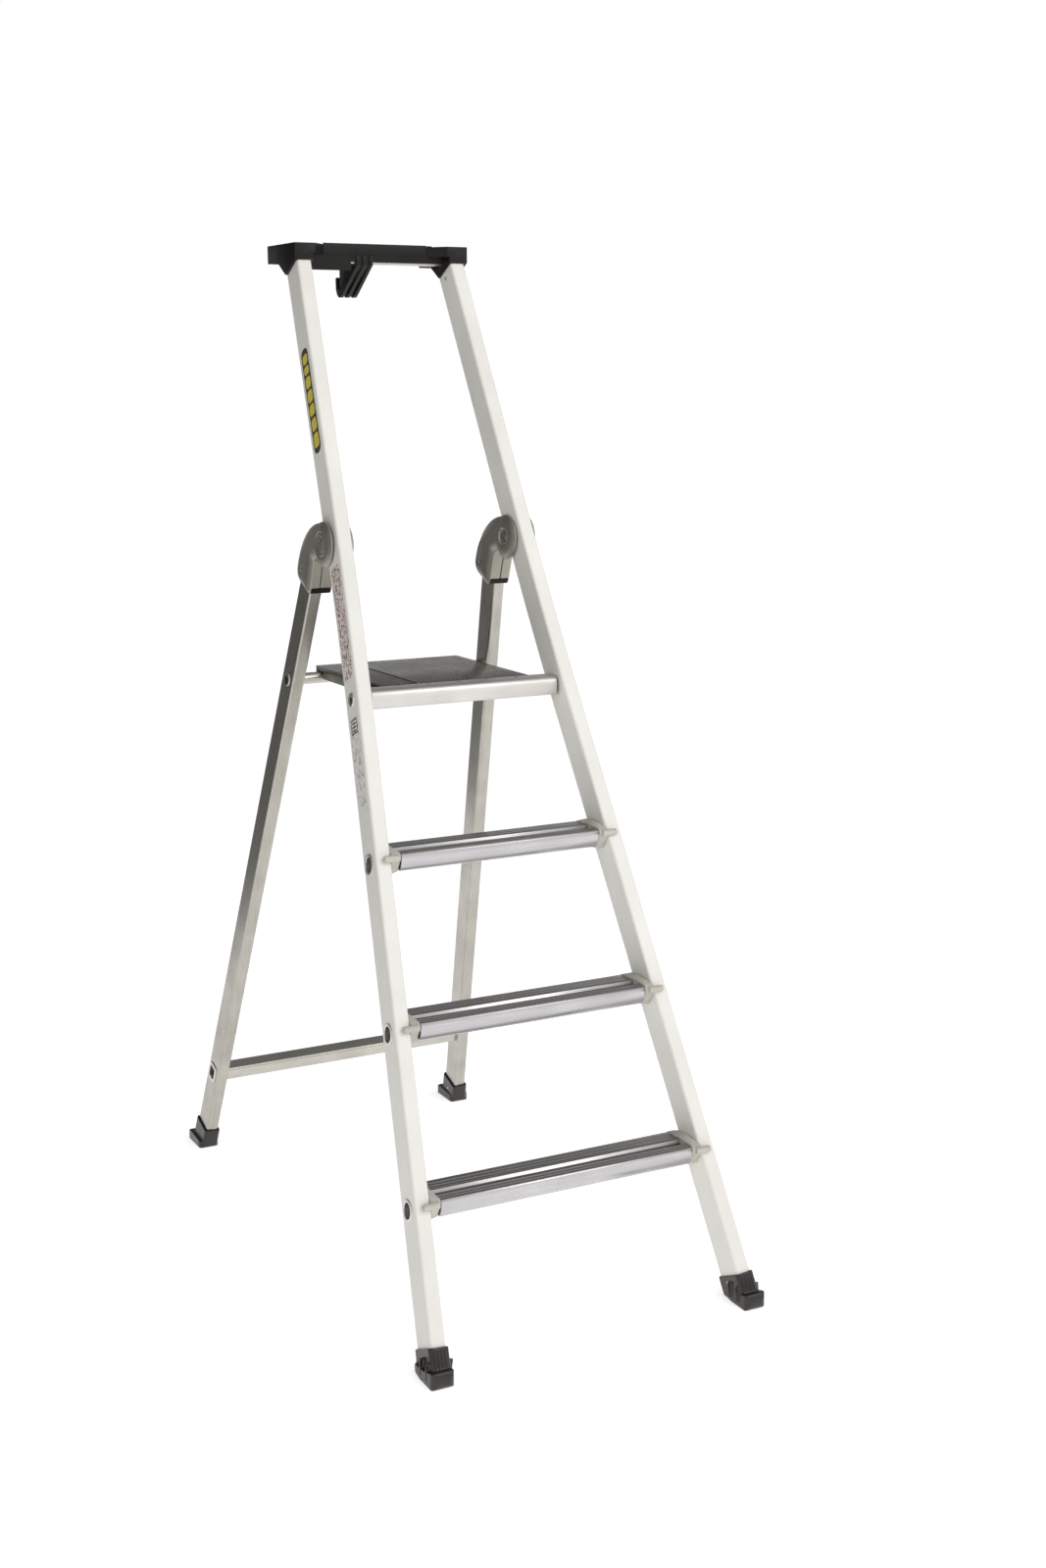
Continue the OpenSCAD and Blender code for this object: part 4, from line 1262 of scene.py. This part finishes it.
@dataclass
class Studio:
    """Pale floor, soft light and the camera."""

    eye: Point = (-1.3856, -2.9402, 1.4189)
    pitch_deg: float = 78.516
    yaw_deg: float = -27.638
    lens_mm: float = 45.96
    floor_radius: float = 2.6
    floor_glow: float = 0.62
    dark_side: Point = (-0.80, 0.60, -0.1)

    def camera(self) -> None:
        """Sets the camera in front of the ladder, a little to its left."""
        data = bpy.data.cameras.new("studio_camera")
        data.lens = self.lens_mm
        data.sensor_fit = "VERTICAL"
        data.sensor_height = 36.0
        data.clip_end = 60.0
        camera = stood("studio_camera", data)
        camera.location = self.eye
        camera.rotation_euler = (math.radians(self.pitch_deg), math.radians(0.15), math.radians(self.yaw_deg))
        bpy.context.scene.camera = camera

    def floor(self) -> None:
        """Lays a pale round floor under the ladder."""
        work = bmesh.new()
        bmesh.ops.create_circle(work, cap_ends=True, segments=128, radius=self.floor_radius)
        plate = stood("studio_floor", closed(work, "studio_floor"))
        paint = bpy.data.materials.new("pale_floor")
        paint.use_nodes = True
        shader = paint.node_tree.nodes["Principled BSDF"]
        shader.inputs["Base Color"].default_value = srgb("#F4F4F3")
        shader.inputs["Roughness"].default_value = 0.9
        shader.inputs["Emission Color"].default_value = srgb("#FFFFFF")
        shader.inputs["Emission Strength"].default_value = self.floor_glow
        plate.data.materials.append(paint)

    def world(self) -> None:
        """Surrounds the ladder with soft white light, one darker side and a darker wall behind.

        The wall and the side only show in reflections; the view past the ladder stays white.
        """
        world = bpy.data.worlds.new("studio_world")
        bpy.context.scene.world = world
        world.use_nodes = True
        tree = world.node_tree
        tree.nodes.clear()
        way = put(tree, "ShaderNodeTexCoord").outputs["Generated"]
        lobe = put(tree, "ShaderNodeVectorMath", {0: way, 1: self.dark_side}, operation="DOT_PRODUCT")
        shade = ramp(tree, lobe.outputs["Value"], (0.42, 0.95), (1.05, 0.08), smooth=True)
        parts = put(tree, "ShaderNodeSeparateXYZ", {"Vector": way})
        behind = ramp(tree, parts.outputs["Y"], (-0.3, 0.3), (0.25, 1.0), smooth=True)
        above = ramp(tree, parts.outputs["Z"], (-0.02, 0.25), (0.0, 0.8), smooth=True)
        wall = maths(tree, "SUBTRACT", 1.0, maths(tree, "MULTIPLY", behind, above))
        seen = put(tree, "ShaderNodeLightPath").outputs["Is Camera Ray"]
        level = maths(tree, "MAXIMUM", maths(tree, "MULTIPLY", wall, shade), seen)
        back = put(tree, "ShaderNodeBackground", {"Color": srgb("#FFFFFF"), "Strength": level})
        put(tree, "ShaderNodeOutputWorld", {"Surface": back.outputs[0]})

    def lamp(self, name: str, place: Point, size: float, watts: float) -> None:
        """Hangs one soft square light that faces the ladder's middle.

        Args:
            name: The light's name.
            place: Where it hangs.
            size: Its side in metres.
            watts: Its power.
        """
        data = bpy.data.lights.new(name, "AREA")
        data.shape = "SQUARE"
        data.size = size
        data.energy = watts
        lamp = stood(name, data)
        lamp.location = place
        lamp.rotation_euler = (Vector((0.0, 0.0, 0.8)) - Vector(place)).to_track_quat("-Z", "Y").to_euler()

    def build(self) -> None:
        """Sets floor, light and camera."""
        self.camera()
        self.floor()
        self.world()
        self.lamp("key_light", (1.8, -3.2, 3.0), size=2.2, watts=42.0)
        self.lamp("fill_light", (-3.0, -2.2, 2.0), size=2.0, watts=8.0)
        bpy.context.scene.view_settings.view_transform = "Standard"


def main() -> None:
    """Builds the ladder's looks in order."""
    logging.basicConfig(level=logging.INFO, format="%(name)s: %(message)s")
    for part in (FrontFrame(), ToolTray(), RearFrame(), Platform(), Studio()):
        LOG.info("building %s", type(part).__name__)
        part.build()


if __name__ == "__main__":
    main()
